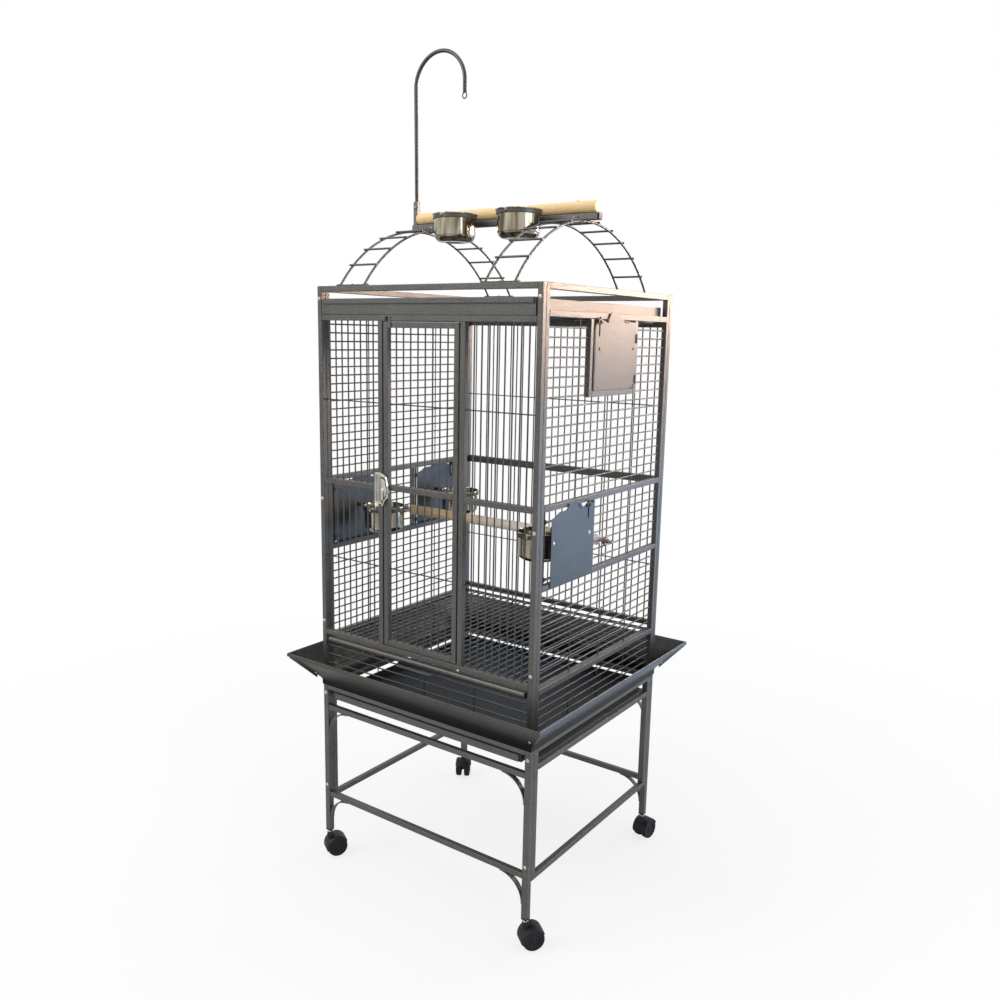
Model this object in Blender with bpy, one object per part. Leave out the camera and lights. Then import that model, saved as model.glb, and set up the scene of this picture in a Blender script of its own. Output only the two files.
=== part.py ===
"""Play top parrot cage on a wheeled stand.

Four welded panels of square tube stand on a four-legged stand with casters.
The cage has a hinged front door, three swing-out feeder doors with lift-out
cups, a nest door, a pull-out floor grate, a pull-out bottom tray, a pull-out
top tray, sloping seed guards and a play top of two ladder arches that carry a
beam, a wooden dowel, two cups and a toy hook.

Metres, +Z up. The origin is on the floor under the middle of the cage, the
front faces -Y.
"""

import math

import bmesh
import bpy
from mathutils import Matrix, Vector

for item in list(bpy.data.objects):
    bpy.data.objects.remove(item)

# Overall sizes
WIDTH = 0.610
DEPTH = 0.5666
CAGE_TALL = 0.9601
STAND_TALL = 0.378
CASTER_RISE = 0.018

# Tube, bar and sheet sizes
TUBE = 0.0127
LEG = 0.015
BAR = 0.0019
STIFFENER = 0.0016
WELD_SINK = 0.0009
BAR_PITCH = 0.0195
BAR_SIDES = 4
SHEET = 0.0014
GAP = 0.0003

# Rails: how far their upper faces stand under the top or over the base
HEADER_DROP = 0.0634
SIDE_RAIL_DROP = 0.0516
MID_RAIL_UP = 0.5239
FEEDER_BAY = 0.1647
FRONT_FLOOR_UP = 0.1537
SIDE_FLOOR_UP = 0.1387
BACK_MID_TALL = 0.018
LOWER_GRILLE_PITCH = 0.0215
LOWER_GRILLE_UP = 0.113
LOWER_POST_STEP = 0.1405
LOWER_POST_SHIFT = 0.0085
CEILING_SINK = 0.0006
CEILING_PITCH = 0.02925

# Front door
JAMB = 0.1073
DOOR_SIDE_GAP = 0.0033
DOOR_END_GAP = 0.0016
DOOR_PIN = 0.003
DOOR_PIN_IN = 0.0032
DOOR_MID_LIFT = 0.004
DOOR_BAR_PITCH = 0.0205

# Stand: rails measured down from the cage's base and up from the foot
STAND_FRONT_DROP = 0.0408
STAND_SIDE_DROP = 0.0278
STAND_LOW_FRONT_UP = 0.1077
STAND_LOW_SIDE_UP = 0.0992
GUSSET_R = 0.060
GUSSET_THICK = 0.003
GUSSET_WIDE = 0.012
GUSSET_STEPS = 5

# Seed guards
GUARD_FLANGE = 0.0254
GUARD_FOOT = 0.0113
GUARD_RISE = 0.0687
GUARD_OUT_X = 0.0582
GUARD_OUT_Y = 0.0607
GUARD_HEM = 0.009
GUARD_CORNER_FLANGE = 0.0062
GUARD_CORNER_END = 0.06
GUARD_CORNER_FOOT = 0.17

# Trays and grate
TOP_TRAY_SIDE_GAP = 0.0023
TOP_TRAY_WALL = 0.0330
TOP_TRAY_LIP = 0.0115
TOP_TRAY_LIP_OUT = 0.004
TOP_TRAY_LIP_UP = 0.002
TOP_TRAY_LIP_INSET = 0.004
TOP_TRAY_OUT = 0.0006
TOP_TRAY_BACK_GAP = 0.0171
BOTTOM_TRAY_SIDE_GAP = 0.0148
BOTTOM_TRAY_WALL = 0.0205
BOTTOM_TRAY_BACK_GAP = 0.0063
BOTTOM_TRAY_INSET = 0.0065
BOTTOM_BAND_TALL = 0.0155
BOTTOM_BAND_OUT = 0.003
BOTTOM_BAND_INSET = 0.006
RUNNER_WIDE = 0.0285
RUNNER_LIFT = 0.0055
RUNNER_END_GAP = 0.001
GRATE_TUBE = 0.0079
GRATE_TUBE_DROP = 0.0047
GRATE_TUBE_INSET = 0.006
GRATE_EDGE = 0.0040
GRATE_SINK = 0.0054
GRATE_SIDE_GAP = 0.0018
GRATE_BACK_GAP = 0.0015
GRATE_WIRE_INSET = 0.002
LEDGE_WIDE = 0.0095
HANDLE_WIRE = 0.0022
HANDLE_HALF = 0.054
HANDLE_OUT = 0.026
HANDLE_BEND = 0.010
HANDLE_DROP = 0.006

# Cups and their rings
CUP_R = 0.0470
CUP_WALL = 0.0012
CUP_TALL = 0.062
CUP_RIM = 0.0045
CUP_ROUND = 0.016
RING_TALL = 0.010
RING_THICK = 0.0024
RING_GAP = 0.0008
RING_ARM_TALL = 0.008
RING_ARM_DROP = 0.001
CUP_STEPS = 18

# Feeder doors: places along the side are measured from the hinge rod
HINGE_ROD = 0.0022
HINGE_INSET = 0.0101
HINGE_TAB = 0.003
HINGE_TAB_LAP = 0.009
HINGE_TAB_LOW = 0.010
HINGE_TAB_HIGH = 0.022
FEEDER_PLATE_NEAR = 0.0165
FEEDER_PLATE_WIDE = 0.172
FEEDER_LAP_LOW = 0.0095
FEEDER_LAP_HIGH = 0.0053
FEEDER_CUP_ALONG = 0.0975
FEEDER_CUP_CLEAR = 0.01645
FEEDER_RIM_UP = 0.0878
FEEDER_ARM_HALF = 0.007
FEEDER_JAMB_LAP = 0.001
FEEDER_JAMB_WIDE = 0.006
REAR_JAMB_GAP = 0.0126
FEEDER_CROWN_DROP = 0.009
NEST_CROWN_DROP = 0.018
CROWN_HALF = 0.0245
CROWN_RISE_RUN = 0.0125
CROWN_DIP = 0.003
CROWN_CORNER = 0.010
SLOT_WIDE = 0.005
SLOT_TALL = 0.030
SLOT_BRIDGE = 0.002
FEEDER_SLOT_INSET = 0.0265
NEST_SLOT_INSET = 0.0150
LATCH_SHANK = 0.0038
LATCH_WASHER = 0.0042
LATCH_WASHER_THICK = 0.0016
LATCH_HEAD_HALF = 0.0100
LATCH_HEAD_DOWN = 0.0020
LATCH_HEAD_UP = 0.0130
LATCH_HEAD_OUT = 0.0055

# Nest door
NEST_LEFT = -0.0858
NEST_WIDE = 0.1846
NEST_WINDOW = 0.1618
NEST_LAP = 0.0017
NEST_PLATE_INSET = 0.0046
NEST_HINGE_R = 0.0022
NEST_KNUCKLE_TALL = 0.020
NEST_KNUCKLE_LOW = 0.010
NEST_KNUCKLE_STEP = 0.090

# Door latch
KEEPER_WIDE = 0.023
KEEPER_TALL = 0.070
KEEPER_THICK = 0.0022
KEEPER_DROP = 0.0414
KEEPER_SHIFT = 0.0055
KEEPER_GROOVE = 0.0024
LEVER_THICK = 0.0075
LEVER_DROP = 0.0079
LEVER_PIVOT_R = 0.0035
LEVER_PIVOT_OUT = 0.0015

# Play top
ARCH_INSET = 0.105
ARCH_HALF = 0.036
ARCH_RISE = 0.1393
ARCH_WIRE = 0.0026
RUNG_WIRE = 0.0025
RUNG_OVERHANG = 0.005
RUNG_COUNT = 10
RUNG_STEP = math.radians(10)
RUNG_SHIFT = math.radians(-1.5)
ARCH_STRIP = 0.002
STRIP_OVERHANG = 0.010
STRIP_INSET = 0.0008
ARCH_STEPS = 14
SADDLE_HALF = 0.010
SADDLE_OVER = 0.0006
SADDLE_THICK = 0.0022
BEAM = 0.015
BEAM_OVERHANG = 0.062
DOWEL_R = 0.013
DOWEL_INSET = 0.008
DOWEL_GAP = 0.0008
HOLDER_TALL = 0.055
HOLDER_INSET = 0.003
HOLDER_FLOOR = 0.004
HOOK_ROD = 0.0040
HOOK_BORE_GAP = 0.0005
HOOK_RISE = 0.4739
HOOK_R = 0.0744
HOOK_LEAN = 0.0041
HOOK_TIP_DROP = 0.026
HOOK_EYE_R = 0.0050
HOOK_EYE_WIRE = 0.0014
PLAY_CUP_LEFT = -0.076
PLAY_CUP_RIGHT = 0.1005
PLAY_RIM_UP = 0.0071
PLAY_ARM = 0.015
PLAY_ARM_HALF = 0.009

# Perch inside the cage
PERCH_R = 0.012
PERCH_Y = 0.012
PERCH_END_GAP = 0.0125
PERCH_STUD = 0.0030
PERCH_STUD_OUT = 0.012
PERCH_WASHER = 0.0095
PERCH_WASHER_THICK = 0.0030
PERCH_NUT = 0.0075
PERCH_NUT_IN = 0.002

# Casters
WHEEL_R = 0.025
WHEEL_STEPS = 16
WHEEL_WIDE = 0.0145
WHEEL_SPACE = 0.0100
AXLE_R = 0.0035
AXLE_GAP = 0.0005
CASTER_TRAIL = 0.015
CASTER_STEM_R = 0.0055
CASTER_STEM_TALL = 0.007
CASTER_NECK_R = 0.0074
CASTER_NECK_DROP = 0.005
HOOD_GAP = 0.0010
HOOD_STEPS = 7
HOOD_FROM = -12
HOOD_TO = 150
HOOD_THICK = 0.0018
HOOD_SIDE = 0.0006
FIN_THICK = 0.0080
CASTER_TURN = {"fr": 52.0, "fl": 60.0, "br": 82.0, "bl": -60.0}

# Places that follow from the sizes
LEG_FOOT = 2 * WHEEL_R + CASTER_RISE
BASE = LEG_FOOT + STAND_TALL
TOP = BASE + CAGE_TALL
HEADER = TOP - HEADER_DROP
SIDE_RAIL = TOP - SIDE_RAIL_DROP
MID_RAIL = BASE + MID_RAIL_UP
LOW_MID_RAIL = MID_RAIL - FEEDER_BAY
FRONT_FLOOR_RAIL = BASE + FRONT_FLOOR_UP
SIDE_FLOOR_RAIL = BASE + SIDE_FLOOR_UP
LOWER_GRILLE_TOP = BASE + LOWER_GRILLE_UP
STAND_FRONT_RAIL = BASE - STAND_FRONT_DROP
STAND_SIDE_RAIL = BASE - STAND_SIDE_DROP
STAND_LOW_FRONT_RAIL = LEG_FOOT + STAND_LOW_FRONT_UP
STAND_LOW_SIDE_RAIL = LEG_FOOT + STAND_LOW_SIDE_UP
HALF_W = WIDTH / 2
HALF_D = DEPTH / 2
HALF_TUBE = TUBE / 2
INNER_W = HALF_W - TUBE
PANEL_Y = HALF_D - TUBE
SIDE_END = PANEL_Y - GAP
SIDE_IN = SIDE_END - TUBE
BAR_X = HALF_W - HALF_TUBE
BAR_Y = HALF_D - HALF_TUBE
BEHIND = BAR + STIFFENER - WELD_SINK
GUARD_FOLD = BASE + GUARD_FLANGE
GRATE_LEVEL = SIDE_FLOOR_RAIL - GRATE_SINK
RING_OUT = CUP_R + RING_GAP + RING_THICK
FEEDER_CUP_IN = HALF_TUBE + FEEDER_CUP_CLEAR + RING_OUT
FEEDER_RIM = LOW_MID_RAIL + FEEDER_RIM_UP
FEEDER_PLATE_LOW = LOW_MID_RAIL - FEEDER_LAP_LOW
FEEDER_PLATE_TALL = MID_RAIL - TUBE + FEEDER_LAP_HIGH - FEEDER_PLATE_LOW
FEEDER_JAMB_NEAR = -HINGE_INSET - FEEDER_JAMB_WIDE
FEEDER_JAMB_FAR = FEEDER_PLATE_NEAR + FEEDER_PLATE_WIDE - FEEDER_JAMB_LAP
FEEDER_HINGE_FRONT = HINGE_INSET - SIDE_IN
FEEDER_HINGE_REAR = SIDE_IN - REAR_JAMB_GAP - FEEDER_JAMB_WIDE - FEEDER_JAMB_FAR
NEST_RIGHT = NEST_LEFT + NEST_WIDE
NEST_PLATE_LEFT = NEST_LEFT + NEST_PLATE_INSET
NEST_SILL = SIDE_RAIL - NEST_WINDOW
NEST_PLATE_TALL = NEST_WINDOW + NEST_LAP
KEEPER_LOW = MID_RAIL - KEEPER_DROP
LEVER_PIVOT_Z = MID_RAIL - LEVER_DROP
ARCH_AT = HALF_W - ARCH_INSET
BEAM_HALF = ARCH_AT + BEAM_OVERHANG
STRIP_TOP = TOP + GAP + ARCH_STRIP
ARCH_FOOT_Z = STRIP_TOP - GAP
ARCH_R = (BAR_Y ** 2 + ARCH_RISE ** 2) / (2 * ARCH_RISE)
ARCH_TOP = ARCH_FOOT_Z + ARCH_RISE
ARCH_CENTRE_Z = ARCH_TOP - ARCH_R
SADDLE_TOP = ARCH_TOP + ARCH_WIRE + SADDLE_OVER
BEAM_LOW = SADDLE_TOP + GAP
BEAM_TOP = BEAM_LOW + BEAM
PLAY_RIM = BEAM_TOP + PLAY_RIM_UP
HOOK_SHOULDER = TOP + HOOK_RISE


def paint(name, colour, roughness, metallic):
    """One Principled material."""
    material = bpy.data.materials.new(name)
    material.use_nodes = True
    shader = material.node_tree.nodes["Principled BSDF"]
    shader.inputs["Base Color"].default_value = (*colour, 1.0)
    shader.inputs["Roughness"].default_value = roughness
    shader.inputs["Metallic"].default_value = metallic
    return material


POWDER = ("powder_coat", (0.085, 0.085, 0.082), 0.42, 0.55)
STEEL = ("polished_steel", (0.62, 0.60, 0.56), 0.16, 1.0)
CHROME = ("cast_chrome", (0.68, 0.68, 0.69), 0.22, 1.0)
WOOD = ("pale_wood", (0.72, 0.50, 0.27), 0.55, 0.0)
PLASTIC = ("black_plastic", (0.020, 0.020, 0.023), 0.40, 0.0)
BLACK = ("black_fitting", (0.030, 0.028, 0.026), 0.45, 0.2)


def spaced(low, high, pitch):
    """Places between two faces with equal gaps of about one pitch."""
    count = max(1, round((high - low) / pitch) - 1)
    step = (high - low) / (count + 1)
    return [low + step * (index + 1) for index in range(count)]


def add_box(mesh, low, high):
    low = Vector(low)
    high = Vector(high)
    place = Matrix.Translation((low + high) / 2) @ Matrix.Diagonal((*(high - low), 1.0))
    bmesh.ops.create_cube(mesh, size=1.0, matrix=place)


def add_rod(mesh, start, end, radius, sides=BAR_SIDES):
    start = Vector(start)
    end = Vector(end)
    run = end - start
    turn = Vector((0, 0, 1)).rotation_difference(run).to_matrix().to_4x4()
    place = Matrix.Translation((start + end) / 2) @ turn
    bmesh.ops.create_cone(mesh, cap_ends=True, segments=sides, radius1=radius,
                          radius2=radius, depth=run.length, matrix=place)


def add_prism(mesh, outline, origin, along, up, out):
    """A flat outline in the along/up plane, pushed out by the vector out."""
    origin = Vector(origin)
    along = Vector(along)
    up = Vector(up)
    out = Vector(out)
    near = [mesh.verts.new(origin + along * a + up * b) for a, b in outline]
    far = [mesh.verts.new(vert.co + out) for vert in near]
    count = len(near)
    mesh.faces.new(near[::-1])
    mesh.faces.new(far)
    for index in range(count):
        after = (index + 1) % count
        mesh.faces.new((near[index], near[after], far[after], far[index]))


def add_lathe(mesh, profile, centre, axis, steps, closed=False):
    """A profile of (radius, height) pairs turned about an axis."""
    centre = Vector(centre)
    axis = Vector(axis).normalized()
    side = axis.orthogonal().normalized()
    if abs(axis.z) > 0.9:
        side = Vector((1, 0, 0))
    verts = [mesh.verts.new(centre + side * r + axis * h) for r, h in profile]
    edges = [mesh.edges.new(pair) for pair in zip(verts, verts[1:])]
    if closed:
        edges.append(mesh.edges.new((verts[-1], verts[0])))
    bmesh.ops.spin(mesh, geom=verts + edges, cent=centre, axis=axis,
                   angle=math.tau, steps=steps, use_merge=True)
    bmesh.ops.remove_doubles(mesh, verts=mesh.verts[:], dist=1e-6)


def add_wire(mesh, points, radius, resolution=1):
    """A round wire along a path, with closed ends."""
    curve = bpy.data.curves.new("path", "CURVE")
    curve.dimensions = "3D"
    curve.bevel_depth = radius
    curve.bevel_resolution = resolution
    curve.use_fill_caps = True
    spline = curve.splines.new("POLY")
    spline.points.add(len(points) - 1)
    for point, place in zip(spline.points, points):
        point.co = (*place, 1.0)
    holder = bpy.data.objects.new("path", curve)
    bpy.context.collection.objects.link(holder)
    bpy.context.view_layer.update()
    shape = bpy.data.meshes.new_from_object(
        holder.evaluated_get(bpy.context.evaluated_depsgraph_get()))
    mesh.from_mesh(shape)
    bpy.data.objects.remove(holder)
    bmesh.ops.remove_doubles(mesh, verts=mesh.verts[:], dist=1e-6)


def arc(centre, radius, start, end, steps):
    """Points of an arc in a plane, angles in degrees."""
    points = []
    for index in range(steps + 1):
        angle = math.radians(start + (end - start) * index / steps)
        points.append((centre[0] + radius * math.cos(angle),
                       centre[1] + radius * math.sin(angle)))
    return points


def tidy(mesh):
    bmesh.ops.remove_doubles(mesh, verts=mesh.verts[:], dist=2e-6)
    bmesh.ops.dissolve_limit(mesh, angle_limit=0.0008, verts=mesh.verts[:],
                             edges=mesh.edges[:])
    bmesh.ops.recalc_face_normals(mesh, faces=mesh.faces[:])


def to_object(name, mesh):
    bmesh.ops.recalc_face_normals(mesh, faces=mesh.faces[:])
    data = bpy.data.meshes.new(name)
    mesh.to_mesh(data)
    thing = bpy.data.objects.new(name, data)
    bpy.context.collection.objects.link(thing)
    return thing


def combine(base, others, operation):
    """The base mesh joined with, or cut by, the other meshes."""
    body = to_object("base", base)
    tools = [to_object("tool", other) for other in others]
    for tool in tools:
        step = body.modifiers.new("step", "BOOLEAN")
        step.operation = operation
        step.solver = "EXACT"
        step.object = tool
    bpy.context.view_layer.update()
    data = bpy.data.meshes.new_from_object(
        body.evaluated_get(bpy.context.evaluated_depsgraph_get()))
    result = bmesh.new()
    result.from_mesh(data)
    for thing in [body, *tools]:
        bpy.data.objects.remove(thing)
    tidy(result)
    return result


def weld(*meshes):
    return combine(meshes[0], meshes[1:], "UNION")


def cut(mesh, *cutters):
    return combine(mesh, cutters, "DIFFERENCE")


def boxes(*pairs):
    mesh = bmesh.new()
    for low, high in pairs:
        add_box(mesh, low, high)
    return mesh


def rods(runs, radius, sides=BAR_SIDES):
    mesh = bmesh.new()
    for start, end in runs:
        add_rod(mesh, start, end, radius, sides)
    return mesh


def lathe(profile, centre, axis, steps, closed=False):
    mesh = bmesh.new()
    add_lathe(mesh, profile, centre, axis, steps, closed)
    return mesh


def prism(outline, origin, along, up, out):
    mesh = bmesh.new()
    add_prism(mesh, outline, origin, along, up, out)
    return mesh


def wire(points, radius, resolution=1):
    mesh = bmesh.new()
    add_wire(mesh, points, radius, resolution)
    return mesh


finishes = {}


def piece(name, mesh, finish, pivot=(0.0, 0.0, 0.0), parent=None, round_piece=False):
    """A named object with its origin at its pivot."""
    if finish[0] not in finishes:
        finishes[finish[0]] = paint(*finish)
    pivot = Vector(pivot)
    bmesh.ops.translate(mesh, vec=-pivot, verts=mesh.verts[:])
    thing = to_object(name, mesh)
    thing.location = pivot
    thing.data.materials.append(finishes[finish[0]])
    if round_piece:
        thing.data.shade_smooth()
        thing.data.set_sharp_from_angle(angle=math.radians(40))
    if parent is not None:
        thing.parent = parent
        bpy.context.view_layer.update()
        thing.matrix_parent_inverse = parent.matrix_world.inverted()
    return thing


cage = bpy.data.objects.new("cage", None)
bpy.context.collection.objects.link(cage)
stand = bpy.data.objects.new("stand", None)
bpy.context.collection.objects.link(stand)


# Panel frames

def panel_frame_xz(face, rails, uprights):
    """A welded frame across the cage; face is the lower y of its tubes."""
    near = face
    far = face + TUBE
    posts = boxes(((-HALF_W, near, BASE), (-INNER_W, far, TOP)),
                  ((INNER_W, near, BASE), (HALF_W, far, TOP)))
    rail_mesh = bmesh.new()
    for top in rails:
        add_box(rail_mesh, (-BAR_X, near, top - TUBE), (BAR_X, far, top))
    if not uprights:
        return weld(posts, rail_mesh)
    upright_mesh = bmesh.new()
    for left, low, high in uprights:
        add_box(upright_mesh, (left, near, low), (left + TUBE, far, high))
    return weld(posts, rail_mesh, upright_mesh)


def panel_frame_yz(side, rails, members, sills=()):
    """A welded frame along one side, between the front and back panels."""
    inner = side * INNER_W
    outer = side * HALF_W
    low_x = min(inner, outer)
    high_x = max(inner, outer)
    posts = boxes(((low_x, -SIDE_END, BASE), (high_x, -SIDE_IN, TOP)),
                  ((low_x, SIDE_IN, BASE), (high_x, SIDE_END, TOP)))
    rail_mesh = bmesh.new()
    for top in rails:
        add_box(rail_mesh, (low_x, -SIDE_END + HALF_TUBE, top - TUBE),
                (high_x, SIDE_END - HALF_TUBE, top))
    for start, end, top in sills:
        add_box(rail_mesh, (low_x, start, top - TUBE), (high_x, end, top))
    member_mesh = bmesh.new()
    for start, end, low, high in members:
        add_box(member_mesh, (low_x, start, low), (high_x, end, high))
    return weld(posts, rail_mesh, member_mesh)


front_frame = piece(
    "front_frame",
    panel_frame_xz(-HALF_D, (TOP, HEADER, FRONT_FLOOR_RAIL, BASE + TUBE),
                   ((-JAMB - TUBE, FRONT_FLOOR_RAIL - HALF_TUBE, HEADER - HALF_TUBE),
                    (JAMB, FRONT_FLOOR_RAIL - HALF_TUBE, HEADER - HALF_TUBE))),
    POWDER, parent=cage)
back_frame = piece(
    "back_frame",
    panel_frame_xz(PANEL_Y, (TOP, HEADER, BASE + TUBE), ()),
    POWDER, parent=cage)

side_rails = (TOP, SIDE_RAIL, MID_RAIL, LOW_MID_RAIL, BASE + TUBE)
mid_low = LOW_MID_RAIL - HALF_TUBE
mid_high = MID_RAIL - HALF_TUBE


def feeder_jamb(hinge, offset):
    start = hinge + offset
    return (start, start + FEEDER_JAMB_WIDE, mid_low, mid_high)


nest_high = SIDE_RAIL - HALF_TUBE
nest_low = NEST_SILL - TUBE
right_members = [
    feeder_jamb(FEEDER_HINGE_FRONT, FEEDER_JAMB_FAR),
    (NEST_LEFT - TUBE, NEST_LEFT, nest_low, nest_high),
    (NEST_RIGHT, NEST_RIGHT + TUBE, nest_low, nest_high),
]
left_members = [
    feeder_jamb(FEEDER_HINGE_FRONT, FEEDER_JAMB_FAR),
    feeder_jamb(FEEDER_HINGE_REAR, FEEDER_JAMB_NEAR),
    feeder_jamb(FEEDER_HINGE_REAR, FEEDER_JAMB_FAR),
]
left_frame = piece("left_frame", panel_frame_yz(-1, side_rails, left_members),
                   POWDER, parent=cage)
nest_sill = (NEST_LEFT - HALF_TUBE, NEST_RIGHT + HALF_TUBE, NEST_SILL)
right_frame = piece("right_frame", panel_frame_yz(1, side_rails, right_members, (nest_sill,)),
                    POWDER, parent=cage)


# Bar fields

def front_field(left, right, low, high, face, mid_top, mid_tall):
    """Upright bars with their mid rail and two stiffener rods."""
    centre = face + HALF_TUBE
    bar_runs = []
    for x in spaced(left, right, BAR_PITCH):
        bar_runs.append(((x, centre, low + GAP), (x, centre, high - GAP)))
    rail = boxes(((left + GAP, face, mid_top - mid_tall), (right - GAP, face + TUBE, mid_top)))
    heights = ((mid_top + high) / 2, (low + mid_top - mid_tall) / 2)
    rod_runs = []
    for z in heights:
        rod_runs.append(((left + GAP, centre + BEHIND, z), (right - GAP, centre + BEHIND, z)))
    return weld(rail, rods(bar_runs, BAR), rods(rod_runs, STIFFENER))


header_low = HEADER - TUBE
piece("front_left_bars",
      front_field(-INNER_W, -JAMB - TUBE, FRONT_FLOOR_RAIL, header_low, -HALF_D,
                  MID_RAIL, TUBE), POWDER, parent=cage)
piece("front_right_bars",
      front_field(JAMB + TUBE, INNER_W, FRONT_FLOOR_RAIL, header_low, -HALF_D,
                  MID_RAIL, TUBE), POWDER, parent=cage)


def lower_wires(runs_from, runs_to, place, low, top):
    """Level wires of the lower grille, one below the other."""
    runs = []
    z = top
    while z > low + LOWER_GRILLE_PITCH / 2:
        runs.append((place(runs_from, z), place(runs_to, z)))
        z -= LOWER_GRILLE_PITCH
    return runs


def front_place(x, z):
    return (x, -BAR_Y, z)


base_rail = BASE + TUBE
front_low_wires = lower_wires(-INNER_W + GAP, INNER_W - GAP, front_place,
                              base_rail, LOWER_GRILLE_TOP)
lower_post_places = [LOWER_POST_SHIFT + LOWER_POST_STEP * step for step in (-1, 0, 1)]
front_low_posts = []
for x in lower_post_places:
    front_low_posts.append(((x, BEHIND - BAR_Y, base_rail + GAP),
                            (x, BEHIND - BAR_Y, LOWER_GRILLE_TOP)))
piece("front_lower_grille",
      weld(rods(front_low_wires, BAR), rods(front_low_posts, STIFFENER)),
      POWDER, parent=cage)


def back_field():
    """The whole back: bars, mid rail, floor rail, lower wires and stiffeners."""
    left = -INNER_W
    right = INNER_W
    centre = BAR_Y
    bar_runs = []
    for x in spaced(left, right, BAR_PITCH):
        bar_runs.append(((x, centre, FRONT_FLOOR_RAIL - HALF_TUBE), (x, centre, header_low - GAP)))
    rails = boxes(((left + GAP, PANEL_Y, MID_RAIL - BACK_MID_TALL), (right - GAP, HALF_D, MID_RAIL)),
                  ((left + GAP, PANEL_Y, FRONT_FLOOR_RAIL - TUBE),
                   (right - GAP, HALF_D, FRONT_FLOOR_RAIL)))

    def back_place(x, z):
        return (x, centre, z)

    rod_runs = lower_wires(left + GAP, right - GAP, back_place, base_rail, LOWER_GRILLE_TOP)
    post_runs = []
    for x in lower_post_places:
        post_runs.append(((x, centre - BEHIND, base_rail + GAP),
                          (x, centre - BEHIND, FRONT_FLOOR_RAIL - HALF_TUBE)))
    return weld(rails, rods(bar_runs, BAR), rods(rod_runs, BAR), rods(post_runs, STIFFENER))


piece("back_bars", back_field(), POWDER, parent=cage)

SIDE_STIFFENERS = (0.0,)


def side_bars(side, start, end, heights, low, high):
    """Level bars of a side field, with upright stiffener rods where they fall."""
    x = side * BAR_X
    bar_runs = [((x, start + GAP, z), (x, end - GAP, z)) for z in heights]
    posts = [y for y in SIDE_STIFFENERS if start + BAR_PITCH / 2 < y < end - BAR_PITCH / 2]
    if not posts:
        posts = [(start + end) / 2]
    behind = x - side * BEHIND
    post_runs = [((behind, y, low + GAP), (behind, y, high - GAP)) for y in posts]
    return weld(rods(bar_runs, BAR), rods(post_runs, STIFFENER))


upper_levels = spaced(MID_RAIL, SIDE_RAIL - TUBE, BAR_PITCH)
middle_levels = spaced(LOW_MID_RAIL, MID_RAIL - TUBE, BAR_PITCH)
lower_levels = spaced(SIDE_FLOOR_RAIL, LOW_MID_RAIL - TUBE, BAR_PITCH)
nest_levels = [z for z in upper_levels if z > nest_low + BAR]
below_nest = [z for z in upper_levels if z < nest_low - BAR - GAP]


def side_low_field(side):
    """Lower bars, floor rail, grate ledge and lower wires of one side."""
    x = side * BAR_X
    inner = side * INNER_W
    outer = side * HALF_W
    low_x = min(inner, outer)
    high_x = max(inner, outer)
    bar_runs = [((x, -SIDE_IN + GAP, z), (x, SIDE_IN - GAP, z)) for z in lower_levels]

    def side_place(y, z):
        return (x, y, z)

    wires = lower_wires(-SIDE_IN + GAP, SIDE_IN - GAP, side_place, base_rail,
                        LOWER_GRILLE_TOP - GAP)
    behind = x - side * BEHIND
    posts = [((behind, y, base_rail + GAP), (behind, y, LOW_MID_RAIL - TUBE - GAP))
             for y in SIDE_STIFFENERS]
    rail = boxes(((low_x, -SIDE_IN + GAP, SIDE_FLOOR_RAIL - TUBE),
                  (high_x, SIDE_IN - GAP, SIDE_FLOOR_RAIL)))
    ledge_top = GRATE_LEVEL - GRATE_EDGE - GAP
    ledge_tip = inner - side * LEDGE_WIDE
    ledge = boxes(((min(ledge_tip, x), -SIDE_IN + GAP, ledge_top - SHEET),
                   (max(ledge_tip, x), SIDE_IN - GAP, ledge_top)))
    return weld(rail, ledge, rods(bar_runs, BAR), rods(wires, BAR), rods(posts, STIFFENER))


piece("left_upper_bars",
      side_bars(-1, -SIDE_IN, SIDE_IN, upper_levels, MID_RAIL, SIDE_RAIL - TUBE),
      POWDER, parent=cage)
piece("left_middle_bars",
      side_bars(-1, FEEDER_HINGE_FRONT + FEEDER_JAMB_FAR + FEEDER_JAMB_WIDE,
                FEEDER_HINGE_REAR + FEEDER_JAMB_NEAR, middle_levels,
                LOW_MID_RAIL, MID_RAIL - TUBE),
      POWDER, parent=cage)
piece("left_lower_bars", side_low_field(-1), POWDER, parent=cage)
piece("right_nest_front_bars",
      side_bars(1, -SIDE_IN, NEST_LEFT - TUBE, nest_levels, nest_low, SIDE_RAIL - TUBE),
      POWDER, parent=cage)
piece("right_nest_rear_bars",
      side_bars(1, NEST_RIGHT + TUBE, SIDE_IN, nest_levels, nest_low, SIDE_RAIL - TUBE),
      POWDER, parent=cage)
piece("right_upper_bars",
      side_bars(1, -SIDE_IN, SIDE_IN, below_nest, MID_RAIL, nest_low),
      POWDER, parent=cage)
piece("right_middle_bars",
      side_bars(1, FEEDER_HINGE_FRONT + FEEDER_JAMB_FAR + FEEDER_JAMB_WIDE, SIDE_IN,
                middle_levels, LOW_MID_RAIL, MID_RAIL - TUBE),
      POWDER, parent=cage)
piece("right_lower_bars", side_low_field(1), POWDER, parent=cage)

# Ceiling grille under the top tray
ceiling_z = HEADER - BAR - CEILING_SINK
ceiling_runs = []
for x in spaced(-INNER_W, INNER_W, CEILING_PITCH):
    ceiling_runs.append(((x, -PANEL_Y + GAP, ceiling_z), (x, PANEL_Y - GAP, ceiling_z)))
under_z = ceiling_z - BEHIND
ceiling_rod = rods((((-INNER_W + GAP, 0.0, under_z), (INNER_W - GAP, 0.0, under_z)),), STIFFENER)
piece("top_grille", weld(rods(ceiling_runs, BAR), ceiling_rod), POWDER, parent=cage)


# Front door

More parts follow.
